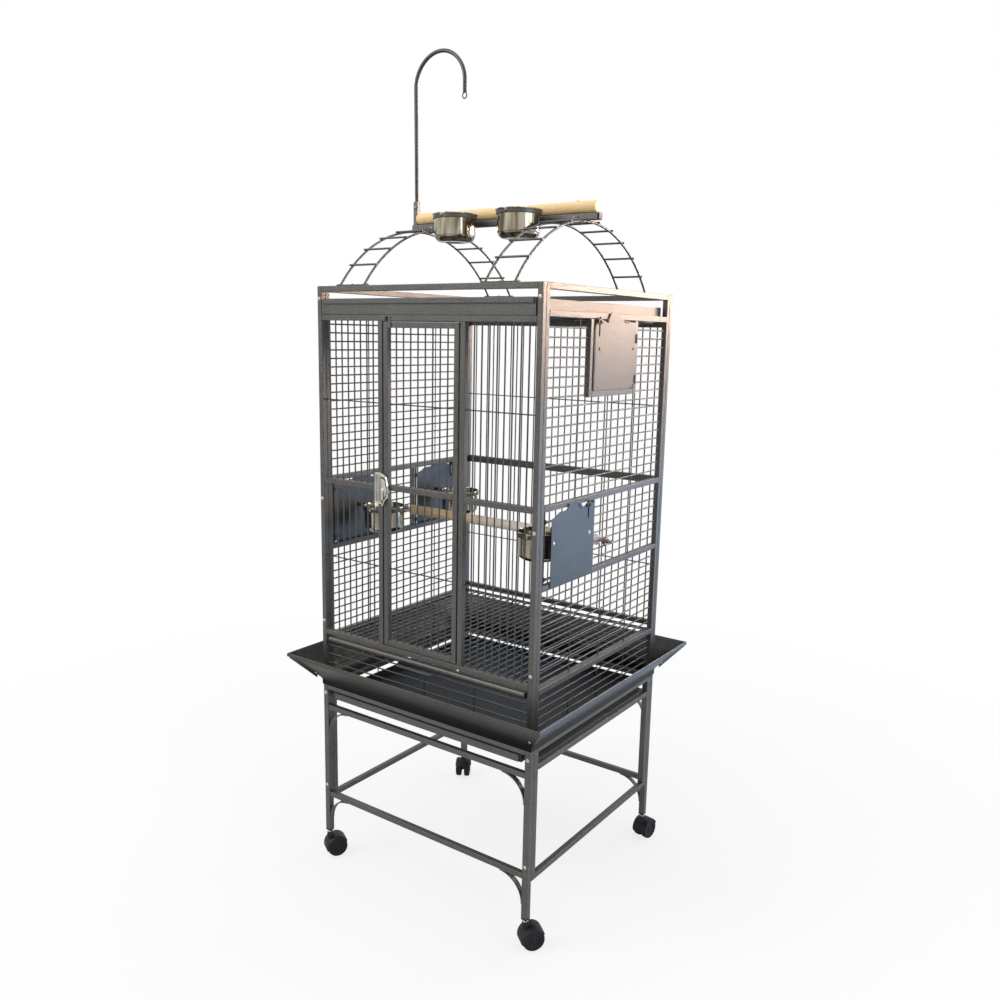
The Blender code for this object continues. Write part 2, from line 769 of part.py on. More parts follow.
def front_door_mesh():
    half = JAMB - DOOR_SIDE_GAP
    low = FRONT_FLOOR_RAIL + DOOR_END_GAP
    high = header_low - DOOR_END_GAP
    near = -HALF_D
    far = near + TUBE
    centre = near + HALF_TUBE
    stiles = boxes(((-half, near, low), (-half + TUBE, far, high)),
                   ((half - TUBE, near, low), (half, far, high)))
    rail_mesh = bmesh.new()
    for top in (low + TUBE, MID_RAIL + DOOR_MID_LIFT, high):
        add_box(rail_mesh, (-half + HALF_TUBE, near, top - TUBE), (half - HALF_TUBE, far, top))
    bar_runs = []
    for x in spaced(-half + TUBE, half - TUBE, DOOR_BAR_PITCH):
        bar_runs.append(((x, centre, low + HALF_TUBE), (x, centre, high - HALF_TUBE)))
    rod_runs = []
    for z in ((MID_RAIL + header_low) / 2, (FRONT_FLOOR_RAIL + MID_RAIL - TUBE) / 2):
        rod_runs.append(((-half + HALF_TUBE, centre + BEHIND, z), (half - HALF_TUBE, centre + BEHIND, z)))
    hinge_x = half - HALF_TUBE
    pins = rods((((hinge_x, centre, low - DOOR_END_GAP + GAP), (hinge_x, centre, low + DOOR_PIN_IN)),
                 ((hinge_x, centre, high - DOOR_PIN_IN), (hinge_x, centre, high + DOOR_END_GAP - GAP))),
                DOOR_PIN, 8)
    return weld(stiles, rail_mesh, rods(bar_runs, BAR), rods(rod_runs, STIFFENER), pins)


DOOR_HINGE = (JAMB - DOOR_SIDE_GAP - HALF_TUBE, -HALF_D + HALF_TUBE,
              FRONT_FLOOR_RAIL + DOOR_END_GAP)
front_door = piece("front_door", front_door_mesh(), POWDER, pivot=DOOR_HINGE, parent=cage)

# Door latch: a ribbed keeper on the jamb, and a bell-shaped lever on the door
keeper_left = -JAMB - HALF_TUBE - KEEPER_WIDE / 2 - KEEPER_SHIFT
keeper_front = -HALF_D - GAP - KEEPER_THICK
keeper = boxes(((keeper_left, keeper_front, KEEPER_LOW),
                (keeper_left + KEEPER_WIDE, -HALF_D - GAP, KEEPER_LOW + KEEPER_TALL)))
grooves = bmesh.new()
for share in (0.36, 0.66):
    x = keeper_left + KEEPER_WIDE * share
    add_box(grooves, (x, keeper_front - SHEET, KEEPER_LOW + KEEPER_TALL * 0.12),
            (x + KEEPER_GROOVE, keeper_front + KEEPER_THICK / 2, KEEPER_LOW + KEEPER_TALL * 0.88))
piece("latch_keeper", cut(keeper, grooves), CHROME, parent=cage)

LEVER_PIVOT_X = -JAMB + DOOR_SIDE_GAP + HALF_TUBE
LEVER_OUTLINE = (
    [(-0.0100, -0.0300), (-0.0045, -0.0385), (-0.0005, -0.0300)]
    + [(0.0045, -0.0220), (0.0095, -0.0170)]
    + arc((0.0020, 0.0000), 0.0125, -50, 38, 5)
    + [(0.0080, 0.0180), (0.0070, 0.0260), (0.0000, 0.0345), (-0.0100, 0.0355)]
)
lever_back = keeper_front - GAP * 2
lever_mesh = prism(LEVER_OUTLINE, (LEVER_PIVOT_X, lever_back, LEVER_PIVOT_Z),
                   (1, 0, 0), (0, 0, 1), (0, -LEVER_THICK, 0))
lever_pin = rods((((LEVER_PIVOT_X, -HALF_D - GAP, LEVER_PIVOT_Z),
                   (LEVER_PIVOT_X, lever_back - LEVER_THICK - LEVER_PIVOT_OUT, LEVER_PIVOT_Z)),),
                 LEVER_PIVOT_R, 10)
piece("latch_lever", weld(lever_mesh, lever_pin), CHROME,
      pivot=(LEVER_PIVOT_X, -HALF_D, LEVER_PIVOT_Z), parent=front_door)


# Cups, rings and swing-out doors

def cup_mesh(x, y, rim):
    """A straight-sided steel cup with a round bottom edge and a rolled rim."""
    outer = CUP_R
    inner = CUP_R - CUP_WALL
    low = rim - CUP_TALL
    outside = [(0.0, low), (outer - CUP_ROUND, low), (outer, low + CUP_ROUND),
               (outer, rim - CUP_WALL), (outer + CUP_RIM, rim - CUP_WALL), (outer + CUP_RIM, rim)]
    inside = [(inner, rim), (inner, low + CUP_ROUND), (inner - CUP_ROUND, low + CUP_WALL),
              (0.0, low + CUP_WALL)]
    return lathe(outside + inside, (x, y, 0.0), (0, 0, 1), CUP_STEPS)


def ring_mesh(x, y, rim):
    """The flat band that holds a cup under its rim."""
    inner = CUP_R + RING_GAP
    outer = inner + RING_THICK
    high = rim - CUP_WALL - GAP
    low = high - RING_TALL
    return lathe([(inner, low), (outer, low), (outer, high), (inner, high)],
                 (x, y, 0.0), (0, 0, 1), CUP_STEPS, closed=True)


def crown_outline(width, height, drop):
    """A plate outline with round corners, level shoulders and a raised middle."""
    shoulder = height - drop
    centre = width / 2
    foot = centre - CROWN_HALF - CROWN_RISE_RUN
    left = [(CROWN_CORNER - CROWN_CORNER * math.cos(a), shoulder - CROWN_CORNER + CROWN_CORNER * math.sin(a))
            for a in (0.0, math.radians(45), math.radians(90))]
    left += [(foot - 5 * CROWN_DIP, shoulder), (foot - 2 * CROWN_DIP, shoulder - CROWN_DIP),
             (foot, shoulder - CROWN_DIP), (foot + CROWN_RISE_RUN / 2, shoulder + drop / 4),
             (centre - CROWN_HALF, height)]
    right = [(width - a, b) for a, b in reversed(left)]
    return [(width, 0.0), (0.0, 0.0)] + left + right


def latch_slot(side, face, y, top):
    """The cutter for an upright slot in a plate on one side of the cage."""
    low_x = min(face, face + side * SHEET)
    return boxes(((low_x - SHEET, y - SLOT_WIDE / 2, top - SLOT_TALL),
                  (low_x + 2 * SHEET, y + SLOT_WIDE / 2, top)))


def latch_slide(side, face, y, z):
    """A thumb piece with a shank through the plate's slot and a washer behind it."""
    outer = face + side * (SHEET + GAP)
    tip = outer + side * LATCH_HEAD_OUT
    inner = face - side * GAP
    half = LATCH_SHANK / 2
    head = boxes(((min(outer, tip), y - LATCH_HEAD_HALF, z - LATCH_HEAD_DOWN),
                  (max(outer, tip), y + LATCH_HEAD_HALF, z + LATCH_HEAD_UP)))
    shank = boxes(((min(inner, outer) - GAP, y - half, z - half),
                   (max(inner, outer) + GAP, y + half, z + half)))
    washer = rods((((inner, y, z), (inner - side * LATCH_WASHER_THICK, y, z)),), LATCH_WASHER, 8)
    return weld(head, shank, washer)


def feeder(name, side, hinge_y):
    """One swing-out feeder door with its latch slide and its cup."""
    axis_x = side * BAR_X
    face = side * (HALF_W + GAP * 2)
    plate_low = FEEDER_PLATE_LOW
    outline = crown_outline(FEEDER_PLATE_WIDE, FEEDER_PLATE_TALL, FEEDER_CROWN_DROP)
    start = hinge_y + FEEDER_PLATE_NEAR
    plate = prism(outline, (face, start, plate_low), (0, 1, 0), (0, 0, 1), (side * SHEET, 0, 0))
    slot_y = start + FEEDER_PLATE_WIDE - FEEDER_SLOT_INSET
    slot_top = plate_low + FEEDER_PLATE_TALL - FEEDER_CROWN_DROP - SLOT_BRIDGE
    plate = cut(plate, latch_slot(side, face, slot_y, slot_top))
    rod_low = LOW_MID_RAIL + GAP
    rod_high = MID_RAIL - TUBE - GAP
    rod = rods((((axis_x, hinge_y, rod_low), (axis_x, hinge_y, rod_high)),), HINGE_ROD, 8)
    tabs = bmesh.new()
    for z in (rod_low + HINGE_TAB_LOW, rod_high - HINGE_TAB_HIGH):
        tip = face + side * SHEET / 2
        add_box(tabs, (min(axis_x, tip), hinge_y, z), (max(axis_x, tip), start + HINGE_TAB_LAP, z + HINGE_TAB))
    cup_x = axis_x - side * FEEDER_CUP_IN
    cup_y = hinge_y + FEEDER_CUP_ALONG
    ring = ring_mesh(cup_x, cup_y, FEEDER_RIM)
    arm_high = FEEDER_RIM - CUP_WALL - GAP - RING_ARM_DROP
    arm_inner = cup_x + side * (RING_OUT - RING_THICK * 0.6)
    arm_outer = face + side * SHEET / 2
    arm = boxes(((min(arm_inner, arm_outer), cup_y - FEEDER_ARM_HALF, arm_high - RING_ARM_TALL),
                 (max(arm_inner, arm_outer), cup_y + FEEDER_ARM_HALF, arm_high)))
    door = piece(name + "_door", weld(plate, rod, tabs, arm, ring), POWDER,
                 pivot=(axis_x, hinge_y, plate_low), parent=cage)
    shank_z = slot_top - LATCH_SHANK / 2 - GAP
    piece(name + "_latch", latch_slide(side, face, slot_y, shank_z), BLACK,
          pivot=(face, slot_y, shank_z), parent=door)
    piece(name + "_cup", cup_mesh(cup_x, cup_y, FEEDER_RIM), STEEL,
          pivot=(cup_x, cup_y, FEEDER_RIM), parent=door, round_piece=True)


feeder("right_feeder", 1, FEEDER_HINGE_FRONT)
feeder("left_front_feeder", -1, FEEDER_HINGE_FRONT)
feeder("left_rear_feeder", -1, FEEDER_HINGE_REAR)

# Nest door
nest_face = HALF_W + GAP * 2
nest_plate_low = NEST_SILL
nest_wide = NEST_RIGHT - NEST_PLATE_LEFT
nest_plate = prism(crown_outline(nest_wide, NEST_PLATE_TALL, NEST_CROWN_DROP),
                   (nest_face, NEST_PLATE_LEFT, nest_plate_low),
                   (0, 1, 0), (0, 0, 1), (SHEET, 0, 0))
nest_slot_y = NEST_PLATE_LEFT + NEST_SLOT_INSET
nest_slot_top = nest_plate_low + NEST_PLATE_TALL - NEST_CROWN_DROP - SLOT_BRIDGE
nest_slot = latch_slot(1, nest_face, nest_slot_y, nest_slot_top)
NEST_AXIS_X = HALF_W + GAP + NEST_HINGE_R
NEST_AXIS_Y = NEST_RIGHT + NEST_HINGE_R * 0.9
hinge_runs = []
for step in (0, 1):
    low = nest_plate_low + NEST_KNUCKLE_LOW + NEST_KNUCKLE_STEP * step
    hinge_runs.append(((NEST_AXIS_X, NEST_AXIS_Y, low), (NEST_AXIS_X, NEST_AXIS_Y, low + NEST_KNUCKLE_TALL)))
nest_door = piece("nest_door", weld(cut(nest_plate, nest_slot), rods(hinge_runs, NEST_HINGE_R, 8)),
                  POWDER, pivot=(NEST_AXIS_X, NEST_AXIS_Y, nest_plate_low), parent=cage)
nest_shank_z = nest_slot_top - LATCH_SHANK / 2 - GAP
piece("nest_latch", latch_slide(1, nest_face, nest_slot_y, nest_shank_z), BLACK,
      pivot=(nest_face, nest_slot_y, nest_shank_z), parent=nest_door)


# Floor grate with its pull handle

def grate_mesh():
    half = INNER_W - GRATE_SIDE_GAP
    front_y = -BAR_Y
    back_y = PANEL_Y - GRATE_BACK_GAP - GRATE_EDGE
    edge_x = half - GRATE_EDGE
    tube_z = GRATE_LEVEL - GRATE_TUBE_DROP
    tube_end = half - GRATE_TUBE_INSET
    tube = rods((((-tube_end, front_y, tube_z), (tube_end, front_y, tube_z)),), GRATE_TUBE, 10)
    corner_y = -SIDE_END + GRATE_EDGE
    edges = rods((((-edge_x, corner_y, GRATE_LEVEL), (-edge_x, back_y, GRATE_LEVEL)),
                  ((edge_x, corner_y, GRATE_LEVEL), (edge_x, back_y, GRATE_LEVEL))), GRATE_EDGE, 6)
    under = GRATE_LEVEL - BEHIND
    cross = rods((((-edge_x, back_y - GRATE_EDGE, under), (edge_x, back_y - GRATE_EDGE, under)),
                  ((-edge_x, 0.0, under), (edge_x, 0.0, under))),
                 STIFFENER)
    wires = []
    for x in spaced(-edge_x, edge_x, BAR_PITCH):
        wires.append(((x, front_y + GRATE_WIRE_INSET, GRATE_LEVEL), (x, back_y, GRATE_LEVEL)))
    loop = [(-HANDLE_HALF, front_y, tube_z)]
    loop += [(-HANDLE_HALF + HANDLE_BEND + a, front_y - HANDLE_OUT + HANDLE_BEND + b, tube_z - HANDLE_DROP)
             for a, b in arc((0.0, 0.0), HANDLE_BEND, 190, 270, 2)]
    loop += [(-x, y, z) for x, y, z in reversed(loop)]
    return weld(tube, rods(wires, BAR), cross, edges, wire(loop, HANDLE_WIRE))


piece("floor_grate", grate_mesh(), POWDER, parent=cage)


# Trays

def tray(low, high, wall, floor):
    """An open sheet pan: outer box with its inside cut out."""
    inner_low = (low[0] + wall, low[1] + wall, low[2] + floor)
    inner_high = (high[0] - wall, high[1] - wall, high[2] + wall)
    return cut(boxes((low, high)), boxes((inner_low, inner_high)))


tray_half = INNER_W - TOP_TRAY_SIDE_GAP
tray_low = HEADER + GAP
tray_front = -HALF_D - TOP_TRAY_OUT
top_pan = tray((-tray_half, tray_front, tray_low),
               (tray_half, PANEL_Y - TOP_TRAY_BACK_GAP, tray_low + TOP_TRAY_WALL), SHEET, SHEET)
lip_low = tray_low + TOP_TRAY_WALL + TOP_TRAY_LIP_UP - TOP_TRAY_LIP
lip_half = tray_half - TOP_TRAY_LIP_INSET
lip = boxes(((-lip_half, tray_front - TOP_TRAY_LIP_OUT, lip_low),
             (lip_half, tray_front + SHEET / 2, lip_low + TOP_TRAY_LIP)))
piece("top_tray", weld(top_pan, lip), POWDER, parent=cage)

runner_top = STAND_SIDE_RAIL + RUNNER_LIFT
bottom_low = runner_top + GAP
bottom_half = INNER_W - BOTTOM_TRAY_SIDE_GAP
bottom_front = -HALF_D + BOTTOM_TRAY_INSET
bottom_back = HALF_D - LEG - BOTTOM_TRAY_BACK_GAP
bottom_pan = tray((-bottom_half, bottom_front, bottom_low),
                  (bottom_half, bottom_back, bottom_low + BOTTOM_TRAY_WALL), SHEET, SHEET)
band_half = bottom_half - BOTTOM_BAND_INSET
band = boxes(((-band_half, bottom_front - BOTTOM_BAND_OUT, bottom_low),
              (band_half, bottom_front + SHEET / 2, bottom_low + BOTTOM_BAND_TALL)))
piece("bottom_tray", weld(bottom_pan, band), POWDER, parent=stand)


# Seed guards

def guard_mesh(half, reach, other_reach):
    """One guard along +X in a frame where +Y points outwards from the panel."""
    slope = math.atan2(GUARD_RISE, reach)
    shift = SHEET / math.tan((math.pi / 2 + slope) / 2)
    out = GAP
    foot = BASE + GUARD_FOOT
    profile = [
        (out, foot),
        (out, GUARD_FOLD),
        (reach, GUARD_FOLD + GUARD_RISE),
        (reach + SHEET, GUARD_FOLD + GUARD_RISE - shift),
        (reach + SHEET, GUARD_FOLD + GUARD_RISE - GUARD_HEM),
        (reach, GUARD_FOLD + GUARD_RISE - GUARD_HEM),
        (reach, GUARD_FOLD + GUARD_RISE - SHEET / math.cos(slope)),
        (out + SHEET, GUARD_FOLD - shift * 0.6),
        (out + SHEET, foot),
    ]
    mesh = bmesh.new()
    mitre = other_reach / reach
    left = [mesh.verts.new((GAP - half - n * mitre, n, z)) for n, z in profile]
    right = [mesh.verts.new((half + n * mitre - GAP, n, z)) for n, z in profile]
    count = len(profile)
    mesh.faces.new(left[::-1])
    mesh.faces.new(right)
    for index in range(count):
        after = (index + 1) % count
        mesh.faces.new((left[index], left[after], right[after], right[index]))
    flanges = bmesh.new()
    along = [(out + SHEET * 0.5 + (reach - out) * share, GUARD_FOLD + GUARD_RISE * share)
             for share in (GUARD_CORNER_FOOT, 1 - GUARD_CORNER_END)]
    drop = GUARD_CORNER_FLANGE / math.cos(slope)
    outline = [along[0], along[1], (along[1][0], along[1][1] - drop), (along[0][0], along[0][1] - drop)]
    for sign in (-1, 1):
        near = [flanges.verts.new((sign * (half + n * mitre - GAP), n, z)) for n, z in outline]
        far = [flanges.verts.new((sign * (half + n * mitre - GAP - SHEET), n, z)) for n, z in outline]
        flanges.faces.new(near)
        flanges.faces.new(far[::-1])
        for index in range(4):
            after = (index + 1) % 4
            flanges.faces.new((near[index], far[index], far[after], near[after]))
    return weld(mesh, flanges)


def guard(name, half, reach, other_reach, turn, place):
    mesh = guard_mesh(half, reach, other_reach)
    bmesh.ops.transform(mesh, matrix=Matrix.Translation(place) @ Matrix.Rotation(turn, 4, "Z"),
                        verts=mesh.verts[:])
    piece(name, mesh, POWDER, parent=cage)


guard("seed_guard_back", HALF_W, GUARD_OUT_Y, GUARD_OUT_X, 0.0, (0, HALF_D, 0))
guard("seed_guard_front", HALF_W, GUARD_OUT_Y, GUARD_OUT_X, math.pi, (0, -HALF_D, 0))
guard("seed_guard_left", HALF_D, GUARD_OUT_X, GUARD_OUT_Y, math.pi / 2, (-HALF_W, 0, 0))
guard("seed_guard_right", HALF_D, GUARD_OUT_X, GUARD_OUT_Y, -math.pi / 2, (HALF_W, 0, 0))


# Stand

def gusset(rail_low, leg_in, sign, y):
    """A curved strap in the corner under a rail, tangent to rail and leg."""
    centre = (leg_in - GUSSET_R, rail_low - GUSSET_R)
    outer = arc(centre, GUSSET_R + GUSSET_THICK * 0.3, 0, 90, GUSSET_STEPS)
    inner = arc(centre, GUSSET_R - GUSSET_THICK * 0.7, 90, 0, GUSSET_STEPS)
    outline = [(sign * a, b) for a, b in outer + inner]
    return outline, (0, y - GUSSET_WIDE / 2, 0)


def stand_end(name, sign):
    """Front or rear stand frame: two legs, two rails and four gussets."""
    outer = sign * HALF_D
    inner = sign * (HALF_D - LEG)
    low_y = min(outer, inner)
    high_y = max(outer, inner)
    leg_in = HALF_W - LEG
    legs = boxes(((-HALF_W, low_y, LEG_FOOT), (-leg_in, high_y, BASE - GAP)),
                 ((leg_in, low_y, LEG_FOOT), (HALF_W, high_y, BASE - GAP)))
    mid = (low_y + high_y) / 2
    rail_low_y = mid - HALF_TUBE
    rail_high_y = mid + HALF_TUBE
    rails = bmesh.new()
    for top in (STAND_FRONT_RAIL, STAND_LOW_FRONT_RAIL):
        add_box(rails, (-leg_in - LEG / 2, rail_low_y, top - TUBE), (leg_in + LEG / 2, rail_high_y, top))
    straps = bmesh.new()
    for top in (STAND_FRONT_RAIL, STAND_LOW_FRONT_RAIL):
        for way in (-1, 1):
            outline, origin = gusset(top - TUBE, leg_in, way, mid)
            add_prism(straps, outline, origin, (1, 0, 0), (0, 0, 1), (0, GUSSET_WIDE, 0))
    return piece(name, weld(legs, rails, straps), POWDER, parent=stand)


stand_end("stand_front_frame", -1)
stand_end("stand_rear_frame", 1)


def stand_side(name, side):
    """Side stand frame: two posts behind the legs, two rails and the tray runner."""
    outer = side * HALF_W
    inner = side * (HALF_W - LEG)
    low_x = min(outer, inner)
    high_x = max(outer, inner)
    end = HALF_D - LEG - GAP
    low = STAND_LOW_SIDE_RAIL - TUBE
    posts = boxes(((low_x, -end, low), (high_x, -end + LEG, BASE - GAP)),
                  ((low_x, end - LEG, low), (high_x, end, BASE - GAP)))
    rail_inner = side * (HALF_W - TUBE)
    rail_low_x = min(outer, rail_inner)
    rail_high_x = max(outer, rail_inner)
    rails = bmesh.new()
    for top in (STAND_SIDE_RAIL, STAND_LOW_SIDE_RAIL):
        add_box(rails, (rail_low_x, -end + LEG / 2, top - TUBE), (rail_high_x, end - LEG / 2, top))
    tip = side * (HALF_W - TUBE - RUNNER_WIDE)
    web = side * (HALF_W - TUBE - SHEET)
    root = side * (HALF_W - TUBE * 0.75)
    run = end - LEG - RUNNER_END_GAP
    shelf = boxes(((min(tip, root), -run, runner_top - SHEET), (max(tip, root), run, runner_top)))
    web_box = boxes(((min(web, root), -run, STAND_SIDE_RAIL - TUBE * 0.8),
                     (max(web, root), run, runner_top)))
    return piece(name, weld(posts, rails, web_box, shelf), POWDER, parent=stand)


stand_side("stand_left_frame", -1)
stand_side("stand_right_frame", 1)


# Play top

def arch_mesh(centre_x):
    """A ladder bent into an arch from front to back."""
    end = math.asin(BAR_Y / ARCH_R)
    rails = bmesh.new()
    for x in (centre_x - ARCH_HALF, centre_x + ARCH_HALF):
        path = []
        for index in range(ARCH_STEPS + 1):
            angle = -end + 2 * end * index / ARCH_STEPS
            path.append((x, ARCH_R * math.sin(angle), ARCH_CENTRE_Z + ARCH_R * math.cos(angle)))
        add_wire(rails, path, ARCH_WIRE, 0)
    rung_runs = []
    reach = ARCH_HALF + RUNG_OVERHANG
    below = ARCH_R - ARCH_WIRE * 0.5
    for index in range(RUNG_COUNT):
        angle = RUNG_STEP * (index - (RUNG_COUNT - 1) / 2) + RUNG_SHIFT
        y = below * math.sin(angle)
        z = ARCH_CENTRE_Z + below * math.cos(angle)
        rung_runs.append(((centre_x - reach, y, z), (centre_x + reach, y, z)))
    half = ARCH_HALF + STRIP_OVERHANG
    near = PANEL_Y + STRIP_INSET
    far = HALF_D - STRIP_INSET
    strips = boxes(((centre_x - half, -far, TOP + GAP), (centre_x + half, -near, STRIP_TOP)),
                   ((centre_x - half, near, TOP + GAP), (centre_x + half, far, STRIP_TOP)),
                   ((centre_x - reach, -SADDLE_HALF, SADDLE_TOP - SADDLE_THICK),
                    (centre_x + reach, SADDLE_HALF, SADDLE_TOP)))
    return weld(rails, rods(rung_runs, RUNG_WIRE), strips)


piece("left_arch", arch_mesh(-ARCH_AT), POWDER, parent=cage)
piece("right_arch", arch_mesh(ARCH_AT), POWDER, parent=cage)

HOOK_X = -BEAM_HALF + HALF_TUBE + HOLDER_INSET
holder_top = BEAM_TOP + HOLDER_TALL
beam_mesh = boxes(((-BEAM_HALF, -BEAM / 2, BEAM_LOW), (BEAM_HALF, BEAM / 2, BEAM_TOP)))
holder_mesh = boxes(((HOOK_X - HALF_TUBE, -HALF_TUBE, BEAM_LOW + BEAM / 2),
                     (HOOK_X + HALF_TUBE, HALF_TUBE, holder_top)))
bore_low = BEAM_TOP + HOLDER_FLOOR
bore = rods((((HOOK_X, 0, bore_low), (HOOK_X, 0, holder_top + BEAM)),), HOOK_ROD + HOOK_BORE_GAP, 12)
beam = piece("play_beam", cut(weld(beam_mesh, holder_mesh), bore), POWDER, parent=cage)

dowel_left = HOOK_X + HALF_TUBE + DOWEL_GAP
dowel_z = BEAM_TOP + GAP + DOWEL_R
dowel = rods((((dowel_left, 0, dowel_z), (BEAM_HALF - DOWEL_INSET, 0, dowel_z)),), DOWEL_R, 18)
piece("play_dowel", dowel, WOOD, parent=cage, round_piece=True)

arc_x = HOOK_X - HOOK_LEAN + HOOK_R
tip_x = arc_x + HOOK_R
hook_path = [(HOOK_X, 0, bore_low + HOOK_BORE_GAP), (HOOK_X, 0, holder_top)]
hook_path += [(arc_x + a, 0, HOOK_SHOULDER + b) for a, b in arc((0.0, 0.0), HOOK_R, 180, 0, 10)]
hook_path += [(tip_x, 0, HOOK_SHOULDER - HOOK_TIP_DROP)]
eye_z = HOOK_SHOULDER - HOOK_TIP_DROP - HOOK_EYE_R
eye = lathe([(HOOK_EYE_R + HOOK_EYE_WIRE * math.cos(a), HOOK_EYE_WIRE * math.sin(a))
             for a in (math.radians(45 + 90 * k) for k in range(4))],
            (tip_x, 0, eye_z), (0, 1, 0), 8, closed=True)
piece("toy_hook", weld(wire(hook_path, HOOK_ROD), eye), POWDER,
      pivot=(HOOK_X, 0, holder_top), parent=beam, round_piece=True)


def play_cup(name, x):
    """A cup and its ring on the front of the beam."""
    cup_y = -BEAM / 2 - GAP - PLAY_ARM - RING_OUT
    ring = ring_mesh(x, cup_y, PLAY_RIM)
    arm_high = BEAM_TOP - RING_ARM_DROP
    arm = boxes(((x - PLAY_ARM_HALF, cup_y + RING_OUT - RING_THICK * 0.6, arm_high - RING_ARM_TALL),
                 (x + PLAY_ARM_HALF, -BEAM / 2 - GAP, arm_high)))
    piece(name + "_ring", weld(arm, ring), BLACK, parent=beam)
    piece(name, cup_mesh(x, cup_y, PLAY_RIM), STEEL, pivot=(x, cup_y, PLAY_RIM),
          parent=beam, round_piece=True)


play_cup("play_cup_left", PLAY_CUP_LEFT)
play_cup("play_cup_right", PLAY_CUP_RIGHT)


# Inner perch, held by studs between the side bars
perch_z = (middle_levels[1] + middle_levels[2]) / 2
perch_end = INNER_W - PERCH_END_GAP
perch = rods((((-perch_end, PERCH_Y, perch_z), (perch_end, PERCH_Y, perch_z)),), PERCH_R, 14)
stud_end = HALF_W + PERCH_STUD_OUT
perch_studs = rods((((-stud_end, PERCH_Y, perch_z), (stud_end, PERCH_Y, perch_z)),), PERCH_STUD, 6)
perch_fit = bmesh.new()
inner_face = BAR_X - BAR - GAP
outer_face = BAR_X + BAR + GAP
for side in (-1, 1):
    add_rod(perch_fit, (side * (perch_end - PERCH_NUT_IN), PERCH_Y, perch_z),
            (side * inner_face, PERCH_Y, perch_z), PERCH_NUT, 8)
    add_rod(perch_fit, (side * outer_face, PERCH_Y, perch_z),
            (side * (outer_face + PERCH_WASHER_THICK), PERCH_Y, perch_z), PERCH_WASHER, 10)
piece("inner_perch", weld(perch, perch_studs, perch_fit), WOOD, parent=cage, round_piece=True)


# Casters

def wheel_mesh():
    """Twin wheels on one axle along Y, centred on the axle."""
    half = WHEEL_SPACE / 2
    outer = half + WHEEL_WIDE
    profile = [(0.0, -outer), (WHEEL_R * 0.9, -outer), (WHEEL_R, -outer + WHEEL_R * 0.1),
               (WHEEL_R, -half), (AXLE_R, -half)]
    profile += [(r, -h) for r, h in reversed(profile)]
    return lathe(profile, (0, 0, 0), (0, 1, 0), WHEEL_STEPS)


def caster_body_mesh():
    """Hood, centre fin and stem in the caster's own frame, wheel axle at the origin."""
    width = WHEEL_SPACE / 2 + WHEEL_WIDE + HOOD_SIDE
    hood_in = WHEEL_R + HOOD_GAP
    hood_out = hood_in + HOOD_THICK
    shell = arc((0, 0), hood_out, HOOD_FROM, HOOD_TO, HOOD_STEPS)
    shell += arc((0, 0), hood_in, HOOD_TO, HOOD_FROM, HOOD_STEPS)
    hood = prism(shell, (0, -width, 0), (-1, 0, 0), (0, 0, 1), (0, 2 * width, 0))
    fin_r = hood_in + HOOD_THICK / 2
    fin_arc = arc((0, 0), fin_r, HOOD_FROM, HOOD_TO, HOOD_STEPS)
    fin_arc += [(-AXLE_R * 2.0, -AXLE_R * 1.2), (0.0, -AXLE_R * 2.2), (AXLE_R * 2.0, -AXLE_R * 1.2)]
    fin = prism(fin_arc, (0, -FIN_THICK / 2, 0), (-1, 0, 0), (0, 0, 1), (0, FIN_THICK, 0))
    hole = rods((((0, -width, 0), (0, width, 0)),), AXLE_R + AXLE_GAP, 10)
    stem_low = math.sqrt(hood_in ** 2 - CASTER_TRAIL ** 2) - HOOD_THICK
    stem_high = LEG_FOOT - GAP - WHEEL_R
    neck = rods((((-CASTER_TRAIL, 0, stem_low), (-CASTER_TRAIL, 0, stem_high - CASTER_NECK_DROP)),),
                CASTER_NECK_R, 10)
    stem = rods((((-CASTER_TRAIL, 0, stem_high - CASTER_STEM_TALL), (-CASTER_TRAIL, 0, stem_high)),),
                CASTER_STEM_R, 10)
    wheel_room = rods((((0, -2 * width, 0), (0, 2 * width, 0)),), hood_in + HOOD_THICK / 4, 16)
    return weld(hood, cut(fin, hole), cut(neck, wheel_room), stem)


def caster(name, sign_x, sign_y):
    stem_x = sign_x * (HALF_W - LEG / 2)
    stem_y = sign_y * (HALF_D - LEG / 2)
    turn = math.radians(CASTER_TURN[name])
    shift = Matrix.Translation((CASTER_TRAIL, 0, WHEEL_R - LEG_FOOT))
    body_mesh = caster_body_mesh()
    bmesh.ops.transform(body_mesh, matrix=shift, verts=body_mesh.verts[:])
    body = piece("caster_" + name, body_mesh, PLASTIC)
    body.location = (stem_x, stem_y, LEG_FOOT)
    body.rotation_euler = (0, 0, turn)
    body.parent = stand
    wheels = piece("wheels_" + name, wheel_mesh(), PLASTIC, round_piece=True)
    wheels.parent = body
    wheels.location = (CASTER_TRAIL, 0, WHEEL_R - LEG_FOOT)


caster("fr", 1, -1)
caster("fl", -1, -1)
caster("br", 1, 1)
caster("bl", -1, 1)
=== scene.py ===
"""Looks of the play top parrot cage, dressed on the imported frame. Metres, +Z up, front at -Y."""

import math

import bmesh
import bpy
from mathutils import Matrix, Vector


